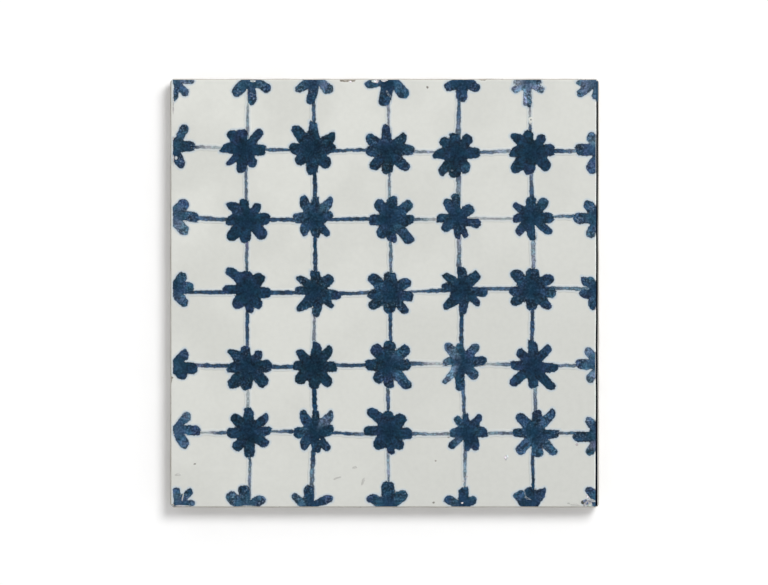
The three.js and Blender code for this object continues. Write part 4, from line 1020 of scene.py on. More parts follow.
def paint_finish(colours):
    """Cobalt fired into the glaze, read from the film's own attributes.

    depth is how far a point lies inside its brush mark, pigment and body the colour and strength of the wash,
    grain how dry the brush was, uneven how mottled the wash is, seam where two dabs meet, and stain how much
    the mark tints the glaze round it. stroke runs along the brush. The wash is darkest along its rim and its
    seams, and cloudy and flecked inside.
    """
    finish = Finish("cobalt brushwork")
    depth = finish.attribute("depth")
    grain = finish.attribute("grain")
    body = finish.attribute("body")
    clouds = finish.noise(330, 2)
    mottle = finish.noise(1000, 3)
    fine = finish.noise(2600, 2)
    streak = finish.noise(1.0, 2, finish.attribute("stroke", "Vector"))
    wobble = finish.sum(finish.product(finish.less(mottle, 0.5), 0.9),
                        finish.product(finish.less(fine, 0.5), 0.5))
    uneven = finish.attribute("uneven")
    even = finish.remap(uneven, 0.0, 0.8, smooth=False)
    wobble = finish.product(wobble, even)
    edge = finish.sum(depth, wobble)
    cover = finish.product(finish.remap(edge, -0.29, 0.17), body)
    dry = finish.remap(finish.sum(finish.product(mottle, 0.5), finish.product(fine, 0.5)), 0.52, 0.66)
    cover = finish.product(cover, finish.less(1.0, finish.product(finish.product(dry, grain), 0.35)))
    rim = finish.product(finish.remap(edge, 0.05, 0.55, 1.0, 0.0),
                         finish.sum(finish.product(grain, 0.8), 0.2))
    joined = finish.product(finish.attribute("seam"), 0.32)
    tone = finish.sum(finish.remap(clouds, 0.3, 0.7, -0.5, 0.5, smooth=False),
                      finish.remap(mottle, 0.3, 0.7, -0.64, 0.64, smooth=False))
    tone = finish.sum(tone, finish.remap(streak, 0.3, 0.7, -0.06, 0.06, smooth=False))
    tone = finish.product(tone, uneven)
    light = finish.larger(finish.less(finish.less(finish.sum(tone, 1.0), rim), joined), 0.4)
    lean = finish.remap(finish.noise(210, 1), 0.35, 0.65)
    hue = finish.blend(lean, (1.12, 0.96, 1.04), (0.78, 1.03, 0.99))
    paint = finish.blend(even, finish.attribute("pigment", "Color"), hue, "MULTIPLY")
    paint = finish.blend(1.0, paint, finish.grey(light), "MULTIPLY")
    flecks = finish.sum(finish.noise(1500, 2), finish.product(grain, 0.1))
    flecks = finish.product(finish.remap(flecks, 0.68, 0.8), finish.product(grain, 0.45))
    paint = finish.blend(flecks, paint, colours.bleed)
    stained = finish.product(finish.remap(depth, -1.4, 0.0, 0.0, 0.85),
                             finish.product(finish.attribute("stain"), body))
    ground = finish.blend(stained, glaze_colour(finish, colours), colours.bleed)
    colour = finish.blend(cover, ground, paint)
    roughness = finish.remap(cover, 0.0, 1.0, 0.28, 0.3)
    return finish.close(colour, roughness, finish.sum(fine, cover), depth=0.00002,
                        specular=finish.product(even, 0.25))


def shared_finish(name, maker, *colours):
    """The material of that name, made the first time it is asked for."""
    return bpy.data.materials.get(name) or maker(*colours)


def wash_values(paints):
    """Each wash as an array: red, green, blue, strength, grain."""
    return {name: np.array([*getattr(paints, name), *body]) for name, body in WASH_BODY.items()}


def dab_depths(dabs, x, y):
    """How deep points lie inside each dab, and how far along it: arrays of dabs by points.

    A dab is a bar from the hub. Its half width grows in a straight line from the root's share over the first
    six tenths of its length, and narrows by the taper times the square of the way over the last six tenths.
    Its middle line starts aside by the shift, which fades along it, and ends aside by the bend, which grows
    by the square of the way. Past the tip's centre the distance is a power mean of the ways beyond and aside:
    a power above 2 squares the tip off, and the slant leans the way beyond to one side.
    """
    column = [np.array([d[key] for d in dabs]).reshape(-1, *[1] * np.ndim(x))
              for key in ("turn", "reach", "width", "root", "taper", "shift", "bend", "slant", "square")]
    turn, reach, width, root, taper, shift, bend, slant, square = column
    turn = np.radians(turn)
    along = x * np.cos(turn) + y * np.sin(turn)
    aside = y * np.cos(turn) - x * np.sin(turn)
    tip = reach - width / 2 * (1 - taper)
    share = np.clip(along / tip, 0, 1)
    grown = root + (1 - root) * np.clip(share / 0.6, 0, 1)
    narrowed = 1 - taper * np.clip((share - 0.4) / 0.6, 0, 1) ** 2
    half_width = width / 2 * grown * narrowed
    sideways = aside - shift * (1 - share) - bend * share ** 2
    beyond = np.maximum(along - tip + slant * sideways, 0) + np.maximum(-along, 0)
    depth = half_width - (beyond ** square + np.abs(sideways) ** square + 1e-9) ** (1 / square)
    return depth, share, along, sideways


def joined_depth(depths):
    """How deep points lie inside all dabs together: a soft maximum, which fills the notches a little."""
    softness = 0.4
    deepest = depths.max(axis=0)
    return deepest + softness * np.log(np.exp((depths - deepest) / softness).sum(axis=0))


def hub_place(name):
    """Where a flower's hub lies on the face."""
    column, row = COLUMNS.index(name[0]), int(name[1:]) - 1
    right, up = FLOWERS[name]["drift"]
    return (column - MIDDLE) * PITCH + right, (MIDDLE - row) * PITCH + up


def ragged(x, y, amount):
    """The unevenness of a brush mark's outline: a coarse ripple and a fine one."""
    return amount * (0.7 * ripple(x, y, 2.6, 21) + 0.4 * ripple(x, y, 1.0, 22))


def flower_depth(name, x, y, amount):
    """How deep points of the face lie inside a flower: its dabs and the round of its core, joined.

    Towards the left side the depth is held under a slope that starts at the pale arris.
    """
    hub_x, hub_y = hub_place(name)
    depths = dab_depths(FLOWERS[name]["dabs"], x - hub_x, y - hub_y)[0]
    core = FLOWERS[name]["core"] - np.hypot(x - hub_x, y - hub_y)
    joined = joined_depth(np.concatenate([depths, core[None]]))
    return np.minimum(joined, 1.2 * (x + HALF - PALE_ARRIS)) + ragged(x, y, amount)


def film_surface(pole, depth_of, reach, bleed, sizes, limits, turns, ring_count, extra_lift=0.0):
    """A closed film that lies on the face round a pole.

    Along each direction from the pole the rim is the last place where the depth is over minus the bleed,
    found on a ray of probes and between two of them in a straight line, and held inside the limits. Rings
    stand at shares of the way to the rim, closer together near it. The film is thin: its rim sinks just under
    the face, and a ring under the rim and a pole below close it.
    """
    angle = np.arange(turns) * 2 * math.pi / turns
    look_x, look_y = np.cos(angle), np.sin(angle)
    probe = np.arange(0, reach, PROBE_STEP)
    depth = depth_of(pole[0] + probe[:, None] * look_x, pole[1] + probe[:, None] * look_y)
    last = len(probe) - 1 - np.argmax(depth[::-1] > -bleed, axis=0)
    last = np.minimum(last, len(probe) - 2)
    here, after = depth[last, np.arange(turns)], depth[last + 1, np.arange(turns)]
    rim = probe[last] + PROBE_STEP * np.clip((here + bleed) / np.maximum(here - after, 1e-6), 0, 1)
    low_x, high_x, low_y, high_y = limits
    room_x = np.where(look_x > 0, high_x - pole[0], pole[0] - low_x) / np.maximum(np.abs(look_x), 1e-6)
    room_y = np.where(look_y > 0, high_y - pole[1], pole[1] - low_y) / np.maximum(np.abs(look_y), 1e-6)
    rim = np.minimum(rim, np.minimum(room_x, room_y))
    share = 1 - (1 - np.linspace(0, 1, ring_count + 1)[1:]) ** 1.35
    x = pole[0] + share[:, None] * rim * look_x
    y = pole[1] + share[:, None] * rim * look_y
    x = np.concatenate([[pole[0]], x.ravel(), x[-1], [pole[0]]])
    y = np.concatenate([[pole[1]], y.ravel(), y[-1], [pole[1]]])
    x, y = held_inside(x, y, sizes.corner_radius / MM)
    inside = depth_of(x, y)
    arris_lift = 0.06 * (1 - ramp(edge_distance(x, y, sizes.corner_radius / MM), 0.3, 1.2))
    stand = (sizes.film_lift / MM + extra_lift) * ramp(inside, -bleed, -0.2 * bleed)
    z = face_height(x, y, sizes) + (stand + arris_lift - RIM_SINK)
    z[-turns - 1:] -= FILM_FOOT
    rows = 1 + np.arange((ring_count + 1) * turns).reshape(ring_count + 1, turns)
    cap = np.stack([np.zeros(turns, int), rows[0], np.roll(rows[0], -1)], axis=-1)
    foot = np.stack([np.full(turns, len(x) - 1), np.roll(rows[-1], -1), rows[-1]], axis=-1)
    return np.stack([x, y, z], axis=-1), [cap, grid_quads(rows), foot], inside


def edge_line_place(y):
    """Where the inner side of the edge line lies: it leans, and is further in lower down."""
    return HALF - np.interp(y, [-HALF, HALF], [EDGE_LINE_LOWER, EDGE_LINE_UPPER])


def face_limits(right=HALF - SIDE_GAP):
    """How far a painted film may reach: short of the left and right sides, over the arris at the others."""
    return -HALF + SIDE_GAP, right, -HALF + END_GAP, HALF - END_GAP


def paint_flower(name, sizes, washes):
    """A flower's film and its attributes.

    Where dabs overlap, the wash of each counts by the exponential of its depth, so the deepest rules. A dab
    runs into its second wash over the last three tenths of its way. The hub's wash shows near the hub and,
    out to 8 mm, where two dabs overlap. A seam shows where the two deepest dabs are about equally deep. The
    paint is calm at the hub and mottled further out.
    """
    shape = FLOWERS[name]
    hub = hub_place(name)
    short = PAINTED_HIGHLIGHT_GAP if name in FLOWERS_SHORT_OF_PAINTED_HIGHLIGHT else -EDGE_LAP
    limits = face_limits(edge_line_place(hub[1]) - short) if name[0] == "G" else face_limits()
    pole = (float(np.clip(hub[0], limits[0] + 0.3, limits[1] - 0.3)),
            float(np.clip(hub[1], limits[2] + 0.3, limits[3] - 0.3)))
    reach = max(d["reach"] for d in shape["dabs"]) + 3.5
    points, faces, inside = film_surface(
        pole, lambda x, y: flower_depth(name, x, y, sizes.ragged / MM), reach, sizes.bleed / MM, sizes,
        limits, FLOWER_TURNS, FLOWER_RINGS)
    x, y = points[:, 0] - hub[0], points[:, 1] - hub[1]
    depths, share, along, sideways = dab_depths(shape["dabs"], x, y)
    order = np.sort(depths, axis=0)
    weight = np.exp((depths - order[-1]) / DAB_BLEND)
    weight /= weight.sum(axis=0)
    root = np.array([washes[d["wash"]] for d in shape["dabs"]])[:, None, :]
    tip = np.array([washes[d["tip_wash"]] for d in shape["dabs"]])[:, None, :]
    draw = np.random.default_rng(sum(map(ord, name)))
    tint = np.ones((len(depths), 1, 5))
    tint[..., :3] = draw.uniform(0.96, 1.04, (len(depths), 1, 1))
    value = (root + (tip - root) * ramp(share, 0.7, 1.0)[..., None]) * tint
    value = (value * weight[..., None]).sum(axis=0)
    away = np.hypot(x, y)
    overlap = ramp(order[-2], 0.1, 1.0) * (1 - ramp(away, 5, 8))
    near = np.maximum(np.exp(-(away / HUB_REACH) ** 2), 0.8 * overlap)[:, None]
    value = value + (washes[shape["hub_wash"]] - value) * near
    seam = np.exp(-((order[-1] - order[-2]) / SEAM_WIDTH) ** 2) * ramp(away, 1.0, 3.5)
    ruling = depths.argmax(axis=0)
    pick = (ruling, np.arange(len(x)))
    stroke = np.stack([along[pick] / 5, sideways[pick] / 0.45, ruling * 7.3 + hub[0]], axis=-1)
    outward = ramp(away, CALM_REACH, MOTTLED_FROM)
    coarse = shape["grain"] * (1 + 0.6 * ripple(points[:, 0], points[:, 1], 5, 33)).clip(0.2, 1.8)
    coarse = coarse * (0.25 + 0.95 * outward)
    uneven = (0.8 + 1.2 * coarse) * (0.6 + 0.55 * outward)
    layers = {"depth": inside, "pigment": value[:, :3], "body": value[:, 3],
              "grain": 0.6 * value[:, 4] + coarse, "seam": seam, "stroke": stroke, "stain": np.ones(len(x)),
              "uneven": uneven}
    return points, faces, layers


def all_flowers_depth(x, y):
    """How deep points lie inside whichever flower is nearest, without the ragged edge."""
    depth = np.full(x.shape, -9.0)
    for name in FLOWERS:
        hub_x, hub_y = hub_place(name)
        near = np.hypot(x - hub_x, y - hub_y) < PITCH / 2 + 2
        if near.any():
            depth[near] = np.maximum(depth[near], flower_depth(name, x[near], y[near], 0.0))
    return depth


def line_knots(spans, key):
    """Where along a line its stretches start, are halfway and end, and what they tell there of a key."""
    places = [((i - MIDDLE) + share) * PITCH for i in range(len(spans)) for share in SPAN_SHARES]
    return places, [value for stretch in spans for value in stretch[key]]


def line_grid(spans, seed, sizes):
    """A brush line laid out straight, as a grid of points across and along it.

    Returned are the way along the line, how far off the straight a point lies, how far off the line's own
    middle, and how deep inside the line. Middle and width run in straight lines between the places the
    stretches tell, with a small ripple. Across the line the points stand closer together at its middle.
    """
    end = HALF - 1.0
    way = np.arange(-end, end + LINE_STEP / 2, LINE_STEP)
    zero = np.zeros_like(way)
    drift = np.interp(way, *line_knots(spans, "drift")) + 0.1 * ripple(way, zero, 4, seed)
    width = np.interp(way, *line_knots(spans, "width")) * (1 + 0.12 * ripple(way, zero, 3.5, seed + 1))
    across = np.linspace(-1, 1, LINE_ACROSS)
    across = np.sign(across) * np.abs(across) ** 1.3
    offset = across[:, None] * (width / 2 + sizes.bleed / MM * 0.85)
    return np.broadcast_to(way, offset.shape), drift + offset, offset, width / 2 - np.abs(offset)


def line_film(spans, seed, sizes, washes, base, upright):
    """A brush line's film and its attributes: its grid, closed by a fold below and a cap at either end.

    base is the height of its row, or the place of its column. The film dips under the flowers and stands
    proud of their rims, so that it runs up to their paint.
    """
    run, aside, offset, depth = line_grid(spans, seed, sizes)
    x, y = (base + aside, -run) if upright else (run, base + aside)
    depth = depth + ragged(x, y, sizes.ragged / MM * 0.35)
    over = 1 - ramp(all_flowers_depth(x, y), 0.1, 0.6)
    lift = LINE_RIM_LIFT + (0.045 * over + sizes.film_lift / MM * 0.5) * ramp(depth, -0.5, -0.1)
    z = face_height(x, y, sizes) + lift - 0.05 * (1 - over)
    count_across, count_along = x.shape
    top = np.stack([x, y, z], axis=-1)
    low = top[[0, -1]] - [0, 0, FILM_FOOT]
    points = np.concatenate([top, low[::-1]]).reshape(-1, 3)
    rows = np.arange((count_across + 2) * count_along).reshape(count_across + 2, count_along)
    after = np.roll(rows, -1, axis=0)
    quads = np.stack([rows[:, :-1], rows[:, 1:], after[:, 1:], after[:, :-1]], axis=-1).reshape(-1, 4)
    ends = [rows[:, 0][None], rows[:, -1][None, ::-1]]
    places, names = line_knots(spans, "washes")
    table = np.array([washes[n] for n in names])
    value = np.stack([np.interp(run, places, table[:, k]) for k in range(5)], axis=-1)
    layers = {"depth": depth, "pigment": value[..., :3], "body": value[..., 3], "grain": value[..., 4],
              "seam": np.zeros_like(depth), "stain": np.full_like(depth, 0.8),
              "uneven": np.full_like(depth, 1.3),
              "stroke": np.stack([run / 5, offset / 0.4, 0 * run + seed], axis=-1)}
    closed = {}
    for key, array in layers.items():
        flat = np.concatenate([array, array[[-1, 0]]])
        closed[key] = flat.reshape(-1, flat.shape[-1]) if array.ndim == 3 else flat.ravel()
    return points, [quads, *ends], closed


def edge_stroke(sizes, washes):
    """The film of the line along the right-hand arris: one section carried along it.

    The section runs flat from inside the line to the arris, over its quarter round and a little down the
    side, and back under itself. The line leans: it starts further in at its lower end. Across it the colour
    goes from the bead, painted bright as a highlight and dull beside a flower, to the line and, past the
    line's width, to bare glaze.
    """
    corner, arris = sizes.corner_radius / MM, sizes.arris_radius / MM
    y = np.arange(-HALF + 0.3, HALF - 0.25, 0.5)
    inside = edge_line_place(y) + 0.03 * ripple(y, 0 * y, 14, 71)
    rounded = corner - np.sqrt(corner ** 2 - np.maximum(np.abs(y) - (HALF - corner), 0) ** 2)
    flat = inside + np.array([-PAINTED_HIGHLIGHT_WIDTH, -0.3, -0.05, 0.0, 0.03])[:, None]
    onward = np.linspace(0.12, 1, 8)[:-1, None]
    flat = np.concatenate([flat, flat[-1] + (HALF - arris - flat[-1]) * onward])
    turn = np.linspace(0, math.pi / 2, 14)[:, None]
    painted = all_flowers_depth(flat, np.broadcast_to(y, flat.shape))
    under = ramp(painted, -0.2, 0.3)
    proud = np.array([-0.02, 0.05, 0.07, *[EDGE_LINE_LIFT] * (len(flat) - 3)])[:, None]
    proud = proud - under * np.array([0.05, 0.1, 0.05, *[0.0] * (len(flat) - 3)])[:, None]
    ground = face_height(np.minimum(flat, HALF - arris), np.broadcast_to(y, flat.shape), sizes)
    edge = face_height(np.full_like(y, HALF - arris), y, sizes)
    drop = np.array([0.2, 0.45])[:, None]
    round_x = HALF - arris + (arris + EDGE_LINE_OUTSET) * np.sin(turn) + 0 * y
    round_z = edge - arris + (arris + EDGE_LINE_LIFT) * np.cos(turn)
    level = 0 * drop + 0 * y
    x = np.concatenate([flat, round_x, HALF + EDGE_LINE_OUTSET + level, HALF - 0.1 + level,
                        inside[None] - PAINTED_HIGHLIGHT_WIDTH])
    z = np.concatenate([ground + proud, round_z, edge - arris - drop, edge - arris - drop[::-1],
                        ground[:1] - 0.15])
    run = np.broadcast_to(y, x.shape)
    rows = np.arange(x.size).reshape(x.shape)
    after = np.roll(rows, -1, axis=0)
    quads = np.stack([rows[:, :-1], after[:, :-1], after[:, 1:], rows[:, 1:]], axis=-1).reshape(-1, 4)
    ends = [rows[:, 0][None, ::-1], rows[:, -1][None]]
    across = x - inside
    top = ramp(y, EDGE_LINE_TOP - 1, EDGE_LINE_TOP + 1)[:, None]
    line = washes["edge"] + (washes["teal"] - washes["edge"]) * top
    dull = ramp(all_flowers_depth(x, run), -0.6, 0.0)
    # painted highlight: the bead's bright colour, dulled beside a flower and bluer at the top
    painted_highlight_bead = washes["painted_highlight_bead"] + (washes["edge_pale"] - washes["painted_highlight_bead"]) * dull[..., None]
    painted_highlight_bead = painted_highlight_bead + (washes["blue"] - painted_highlight_bead) * top
    value = painted_highlight_bead + (line - painted_highlight_bead) * ramp(across, -0.05, 0.0)[..., None]
    width = np.interp(y, [-HALF, HALF], [EDGE_LINE_LOWER_WIDTH, EDGE_LINE_UPPER_WIDTH])
    outer = ramp(across - width, -0.03, 0.03)[..., None]
    value = value + (washes["bare"] - value) * outer
    depth = np.minimum(across + 1.0, 0.9)
    layers = {"depth": depth.ravel(), "pigment": value[..., :3].reshape(-1, 3), "body": value[..., 3].ravel(),
              "grain": np.zeros(x.size), "seam": np.zeros(x.size), "stain": np.zeros(x.size),
              "uneven": np.full(x.size, 0.15),
              "stroke": np.stack([run / 5, x / 0.3, 0 * x], axis=-1).reshape(-1, 3)}
    points = np.stack([x - rounded, run, z], axis=-1).reshape(-1, 3)
    return points, [quads, *ends], layers


class TILE_OT_clay_slab(bpy.types.Operator):
    """Clay slab: uneven cut sides, a soft chamfer below and keying grooves in the underside"""
    bl_idname = "tile.clay_slab"
    bl_label = "Clay slab"

    def execute(self, context):
        sizes = context.scene.tile_sizes
        inner = HALF - BACK_CHAMFER
        recess = sizes.side_recess / MM
        spacing = 2 * HALF / (GROOVES + 1)
        middles = (np.arange(GROOVES) - (GROOVES - 1) / 2) * spacing
        flank = np.array([-1.15, -1, -0.9, -0.45, 0, 0.45, 0.9, 1, 1.15]) * GROOVE_WIDTH / 2
        lines_x = np.unique(np.concatenate([
            (middles[:, None] + flank).ravel(), np.linspace(-inner, inner, 81)]).round(3))
        lines_y = np.linspace(-inner, inner, 121)

        def underside(x, y):
            """Flat, with each groove a smooth trough: its depth times a step over its flanks."""
            gap = np.abs(x[:, None] - middles).min(axis=1)
            trough = GROOVE_DEPTH * (1 - ramp(gap, GROOVE_WIDTH * 0.4, GROOVE_WIDTH * 0.56))
            return trough + 0.05 * (1 + ripple(x, y, 9, 41).clip(-1, 1))

        def wall(places, outward):
            """From the glaze down: an uneven side with a slight belly, then the chamfer, softly edged."""
            heights = np.array([CLAY_TOP, *SIDE_LEVELS])
            full = BACK_CHAMFER - recess
            belly = BACK_CHAMFER + sizes.side_belly / MM
            profile = np.interp(heights, [0.12, 1.4, 1.7, 2.2, 4.0, 6.0, 7.4, CLAY_TOP],
                                [0.15, 1.2, 1.32, full, belly, belly, full, full])
            way = np.cumsum(np.hypot(*np.diff(places, axis=0, prepend=places[:1]).T))
            height, along = np.meshgrid(heights, way, indexing="ij")
            uneven = 0.5 * (1 + ripple(along, height * 3, 16, 42)).clip(0, 2) * sizes.side_wave / MM
            fade = np.interp(heights, [0.12, 1.7, 8.0, CLAY_TOP], [0.2, 1, 1, 0])[:, None]
            return profile[:, None] - uneven * fade, height

        points, faces = slab_surface(lines_x, lines_y, lambda x, y: np.full(x.shape, CLAY_TOP),
                                     underside, wall)
        material = shared_finish("fired clay", clay_finish, context.scene.tile_colours)
        build("clay_slab", points, faces, material, ["clay_body"])
        return {"FINISHED"}


class TILE_OT_glaze_face(bpy.types.Operator):
    """Tin glaze: a wavy face with a rolled arris, chips along it, and runs down the sides"""
    bl_idname = "tile.glaze_face"
    bl_label = "Glaze"

    def execute(self, context):
        sizes = context.scene.tile_sizes
        corner = sizes.corner_radius / MM
        arris = sizes.arris_radius / MM
        recess = sizes.side_recess / MM
        lines = np.linspace(-(HALF - corner), HALF - corner, GLAZE_LINES)

        def wall(places, outward):
            """A quarter round, a short upright, a lip that hangs by the runs, then back to the clay."""
            way = np.cumsum(np.hypot(*np.diff(places, axis=0, prepend=places[:1]).T))
            turn = np.linspace(0, math.pi / 2, 8)[1:]
            roll = corner - arris + arris * np.sin(turn)
            runs = 0.35 + 0.5 * ripple(way, 0 * way, 13, 51) + 0.3 * ripple(way, 0 * way, 4, 52)
            lip = CLAY_TOP - 0.1 - runs.clip(0.05, LONGEST_RUN) / LONGEST_RUN * sizes.run_length / MM
            outset = np.array([corner - arris, *roll, corner, corner, corner - 0.3 * recess, corner - recess,
                               corner - recess])[:, None] + 0 * way
            face = face_height(*(places + (corner - arris) * outward).T, sizes)
            rolled = [face_height(*(places + r * outward).T, sizes) for r in roll[:-1]]
            foot = FACE - FACE_DROP - EDGE_FALL - arris
            height = np.array([face, *rolled, foot + 0 * way, CLAY_TOP + 0 * way, lip + 0.2, lip, lip + 0.05,
                               CLAY_TOP + 0 * way])
            dent = chip_dent(*(places + corner * outward).T)
            outset[4:10] -= 0.8 * dent
            return outset, height

        points, faces = slab_surface(lines, lines, lambda x, y: face_height(x, y, sizes),
                                     lambda x, y: np.full(x.shape, CLAY_TOP), wall)
        x, y, z = points.T
        bare = np.max([chip_shape(x, y, chip) for chip in CHIPS], axis=0) * (z > CLAY_TOP - 0.5)
        material = shared_finish("tin glaze", glaze_finish, context.scene.tile_colours)
        build("glaze_skin", points, faces, material, ["glaze_coat"], {"bare": bare})
        return {"FINISHED"}


class TILE_OT_brush_lines(bpy.types.Operator):
    """The ten brush lines that join the flowers"""
    bl_idname = "tile.brush_lines"
    bl_label = "Brush lines"

    def execute(self, context):
        sizes, paints = context.scene.tile_sizes, context.scene.tile_paints
        washes = wash_values(paints)
        material = shared_finish("cobalt brushwork", paint_finish, context.scene.tile_colours)
        for i, spans in enumerate(ROW_LINES):
            points, faces, layers = line_film(spans, 60 + i, sizes, washes, (MIDDLE - 1 - i) * PITCH, False)
            build(f"brush_line_row_{i + 2}", points, faces, material, ["line_lattice"], layers)
        for i, spans in enumerate(COLUMN_LINES):
            points, faces, layers = line_film(spans, 80 + i, sizes, washes, (i + 1 - MIDDLE) * PITCH, True)
            name = f"brush_line_column_{COLUMNS[i + 1]}"
            build(name, points, faces, material, ["line_lattice"], layers)
        return {"FINISHED"}


class TILE_OT_edge_line(bpy.types.Operator):
    """The dark line over the right-hand arris, with the bead of glaze inside it painted bright as a highlight
    """
    bl_idname = "tile.edge_line"
    bl_label = "Edge line"

    def execute(self, context):
        scene = context.scene
        sizes, washes = scene.tile_sizes, wash_values(scene.tile_paints)
        points, faces, layers = edge_stroke(sizes, washes)
        material = shared_finish("cobalt brushwork", paint_finish, scene.tile_colours)
        build("edge_stroke", points, faces, material, ["edge_line"], layers)
        return {"FINISHED"}


class TILE_OT_flowers(bpy.types.Operator):
    """The 49 brush flowers, each a film of its own"""
    bl_idname = "tile.flowers"
    bl_label = "Flowers"

    def execute(self, context):
        scene = context.scene
        washes = wash_values(scene.tile_paints)
        material = shared_finish("cobalt brushwork", paint_finish, scene.tile_colours)
        for name in FLOWERS:
            points, faces, layers = paint_flower(name, scene.tile_sizes, washes)
            build(f"flower_{name}", points, faces, material, [f"star_{name}"], layers)
        return {"FINISHED"}


class TILE_OT_specks(bpy.types.Operator):
    """Iron spots, smears and bare white chips in the glaze and the paint"""
    bl_idname = "tile.specks"
    bl_label = "Specks"

    def execute(self, context):
        scene = context.scene
        sizes, washes = scene.tile_sizes, wash_values(scene.tile_paints)
        points, faces, layers, count = [], [], [], 0
        for right, up, length, width, turn, wash in SPECKS:
            a = math.radians(turn)

            def depth_of(x, y):
                """Depth in a ragged ellipse: its half width times one less the reach, with a ripple."""
                u = ((x - right) * math.cos(a) + (y - up) * math.sin(a)) * 2 / length
                v = ((y - up) * math.cos(a) - (x - right) * math.sin(a)) * 2 / width
                return width / 2 * (1 - np.hypot(u, v)) + ragged(x, y, 0.2 * width)

            film, film_faces, inside = film_surface(
                (right, up), depth_of, length / 2 + 1.5, SPECK_BLEED, sizes, face_limits(HALF - SPECK_GAP),
                SPECK_TURNS, SPECK_RINGS, extra_lift=0.05 + SPECK_STACK * len(points))
            value = np.broadcast_to(washes[wash], (len(film), 5))
            stain = np.full(len(film), float(wash in COBALT_SPECKS))
            points.append(film)
            faces += [part + count for part in film_faces]
            layers.append(np.column_stack([inside, value, film[:, 0] / 0.6, film[:, 1] / 0.6, stain]))
            count += len(film)
        layers = np.concatenate(layers)
        flat = 0 * layers[:, :1]
        material = shared_finish("cobalt brushwork", paint_finish, scene.tile_colours)
        build("kiln_specks", np.concatenate(points), faces, material, [], {
            "depth": layers[:, 0], "pigment": layers[:, 1:4], "body": layers[:, 4], "grain": layers[:, 5],
            "seam": flat.ravel(), "stain": layers[:, 8], "uneven": flat.ravel() + 0.6,
            "stroke": np.column_stack([layers[:, 6:8], flat])})
        return {"FINISHED"}


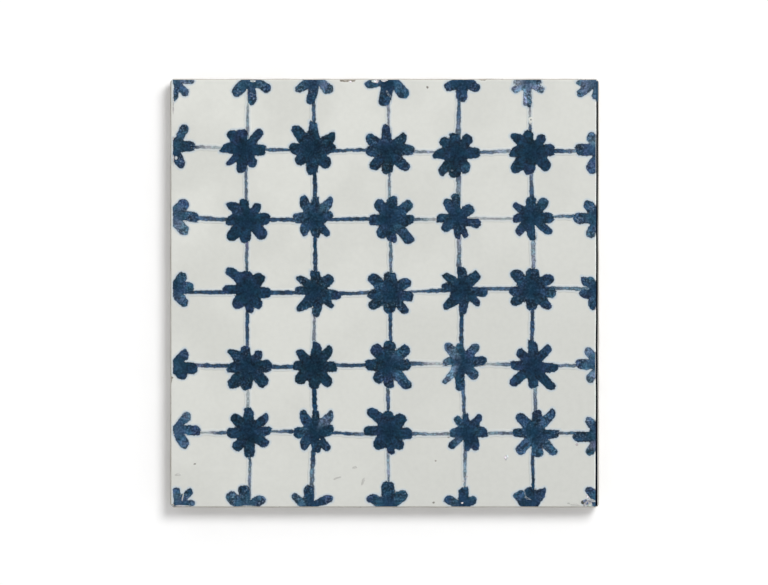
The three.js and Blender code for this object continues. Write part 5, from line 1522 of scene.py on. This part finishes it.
class TILE_OT_stage(bpy.types.Operator):
    """The white floor, the soft light from the upper right and the camera straight above"""
    bl_idname = "tile.stage"
    bl_label = "Stage"

    def execute(self, context):
        scene = context.scene
        look = scene.tile_stage
        scene.view_settings.view_transform = "Standard"
        self.make_floor(scene, look)
        self.make_world(scene, look)
        self.make_key(scene, look)
        self.make_camera(scene, look)
        return {"FINISHED"}

    def make_floor(self, scene, look):
        """A plain square that keeps the tile's shadow, and further off is plain white to the camera."""
        finish = Finish("white floor")
        ray = finish.add("ShaderNodeLightPath").outputs
        seen = finish.larger(ray["Is Camera Ray"], ray["Is Glossy Ray"])
        seen = finish.larger(seen, ray["Is Transmission Ray"])
        speckle = finish.remap(finish.noise(90, 3), 0.3, 0.7, 0.99, 1.0)
        colour = finish.blend(1.0, look.floor, finish.grey(speckle), "MULTIPLY")
        matt = finish.add("ShaderNodeBsdfDiffuse", {"Color": colour})
        away = finish.add("ShaderNodeVectorMath", {0: finish.place}, operation="LENGTH").outputs["Value"]
        lift = finish.sum(finish.remap(away, 0.6, 1.5), look.floor_glow)
        glow = finish.add("ShaderNodeEmission", {
            "Color": (1, 1, 1, 1), "Strength": finish.product(seen, lift)})
        both = finish.add("ShaderNodeAddShader", {0: matt.outputs[0], 1: glow.outputs[0]})
        finish.add("ShaderNodeOutputMaterial", {"Surface": both.outputs[0]})
        mesh = bpy.data.meshes.new("floor")
        side = look.floor_size / 2
        corners = [(-side, -side, 0), (side, -side, 0), (side, side, 0), (-side, side, 0)]
        mesh.from_pydata(corners, [], [(0, 1, 2, 3)])
        mesh.materials.append(finish.material)
        floor = bpy.data.objects.new("floor", mesh)
        scene.collection.objects.link(floor)

    def make_world(self, scene, look):
        """Soft light from all round, dimmer overhead than at the sides, and plain white to the camera."""
        world = bpy.data.worlds.new("studio")
        world.use_nodes = True
        tree = world.node_tree
        tree.nodes.clear()
        place = tree.nodes.new("ShaderNodeTexCoord")
        split = tree.nodes.new("ShaderNodeSeparateXYZ")
        tree.links.new(place.outputs["Generated"], split.inputs[0])
        level = tree.nodes.new("ShaderNodeMapRange")
        level.inputs["To Min"].default_value = look.sky_side
        level.inputs["To Max"].default_value = look.sky_top
        tree.links.new(split.outputs["Z"], level.inputs["Value"])
        path = tree.nodes.new("ShaderNodeLightPath")
        pick = tree.nodes.new("ShaderNodeMix")
        tree.links.new(path.outputs["Is Camera Ray"], pick.inputs[0])
        tree.links.new(level.outputs["Result"], pick.inputs[2])
        pick.inputs[3].default_value = 1.0
        sky = tree.nodes.new("ShaderNodeBackground")
        sky.inputs["Color"].default_value = (1, 1, 1, 1)
        tree.links.new(pick.outputs[0], sky.inputs["Strength"])
        out = tree.nodes.new("ShaderNodeOutputWorld")
        tree.links.new(sky.outputs[0], out.inputs["Surface"])
        scene.world = world

    def make_key(self, scene, look):
        """A round soft lamp that looks at the tile from the upper right."""
        lamp = bpy.data.lights.new("key", "AREA")
        lamp.shape = "DISK"
        lamp.size = look.key_size
        lamp.energy = look.key_power
        key = bpy.data.objects.new("key", lamp)
        flat = look.key_distance * math.cos(look.key_height)
        key.location = (flat * math.cos(look.key_turn), flat * math.sin(look.key_turn),
                        look.key_distance * math.sin(look.key_height))
        key.rotation_mode = "QUATERNION"
        key.rotation_quaternion = key.location.to_track_quat("Z", "Y")
        scene.collection.objects.link(key)

    def make_camera(self, scene, look):
        """A long lens straight above, so far off that only the face shows, at the photograph's scale."""
        camera = bpy.data.cameras.new("camera")
        camera.sensor_width = 36
        seen = PHOTO_WIDTH / PHOTO_PIXELS_PER_MM * MM
        camera.lens = camera.sensor_width * (look.camera_distance - FACE * MM) / seen
        camera.clip_start = 0.1
        camera.clip_end = 100
        eye = bpy.data.objects.new("camera", camera)
        eye.location = (-PHOTO_TILE_RIGHT / PHOTO_PIXELS_PER_MM * MM,
                        PHOTO_TILE_DOWN / PHOTO_PIXELS_PER_MM * MM, look.camera_distance)
        scene.collection.objects.link(eye)
        scene.camera = eye


class TILE_PT_panel(bpy.types.Panel):
    """The tile's pieces and their sizes and colours"""
    bl_label = "Floor tile"
    bl_idname = "TILE_PT_panel"
    bl_space_type = "VIEW_3D"
    bl_region_type = "UI"
    bl_category = "Tile"

    def draw(self, context):
        layout = self.layout
        for step in STEPS:
            layout.operator(step.bl_idname)
        for group in (context.scene.tile_sizes, context.scene.tile_colours, context.scene.tile_paints,
                      context.scene.tile_stage):
            box = layout.box()
            for key in group.bl_rna.properties.keys():
                if key not in ("rna_type", "name"):
                    box.prop(group, key)


STEPS = (TILE_OT_clay_slab, TILE_OT_glaze_face, TILE_OT_brush_lines, TILE_OT_edge_line, TILE_OT_flowers,
         TILE_OT_specks, TILE_OT_stage)
GROUPS = {"tile_sizes": TileSizes, "tile_colours": TileColours, "tile_paints": PaintColours,
          "tile_stage": StageLook}


def register():
    """Registers the groups of sizes and colours, the operators and the panel."""
    for group in GROUPS.values():
        bpy.utils.register_class(group)
    for key, group in GROUPS.items():
        setattr(bpy.types.Scene, key, bpy.props.PointerProperty(type=group))
    for step in (*STEPS, TILE_PT_panel):
        bpy.utils.register_class(step)


def unregister():
    """Takes back what register did, in the opposite order."""
    for step in reversed((*STEPS, TILE_PT_panel)):
        bpy.utils.unregister_class(step)
    for key in GROUPS:
        delattr(bpy.types.Scene, key)
    for group in reversed(list(GROUPS.values())):
        bpy.utils.unregister_class(group)


def main():
    """Builds every piece and the stage."""
    register()
    bpy.ops.tile.clay_slab()
    bpy.ops.tile.glaze_face()
    bpy.ops.tile.brush_lines()
    bpy.ops.tile.edge_line()
    bpy.ops.tile.flowers()
    bpy.ops.tile.specks()
    bpy.ops.tile.stage()


if __name__ == "__main__":
    main()
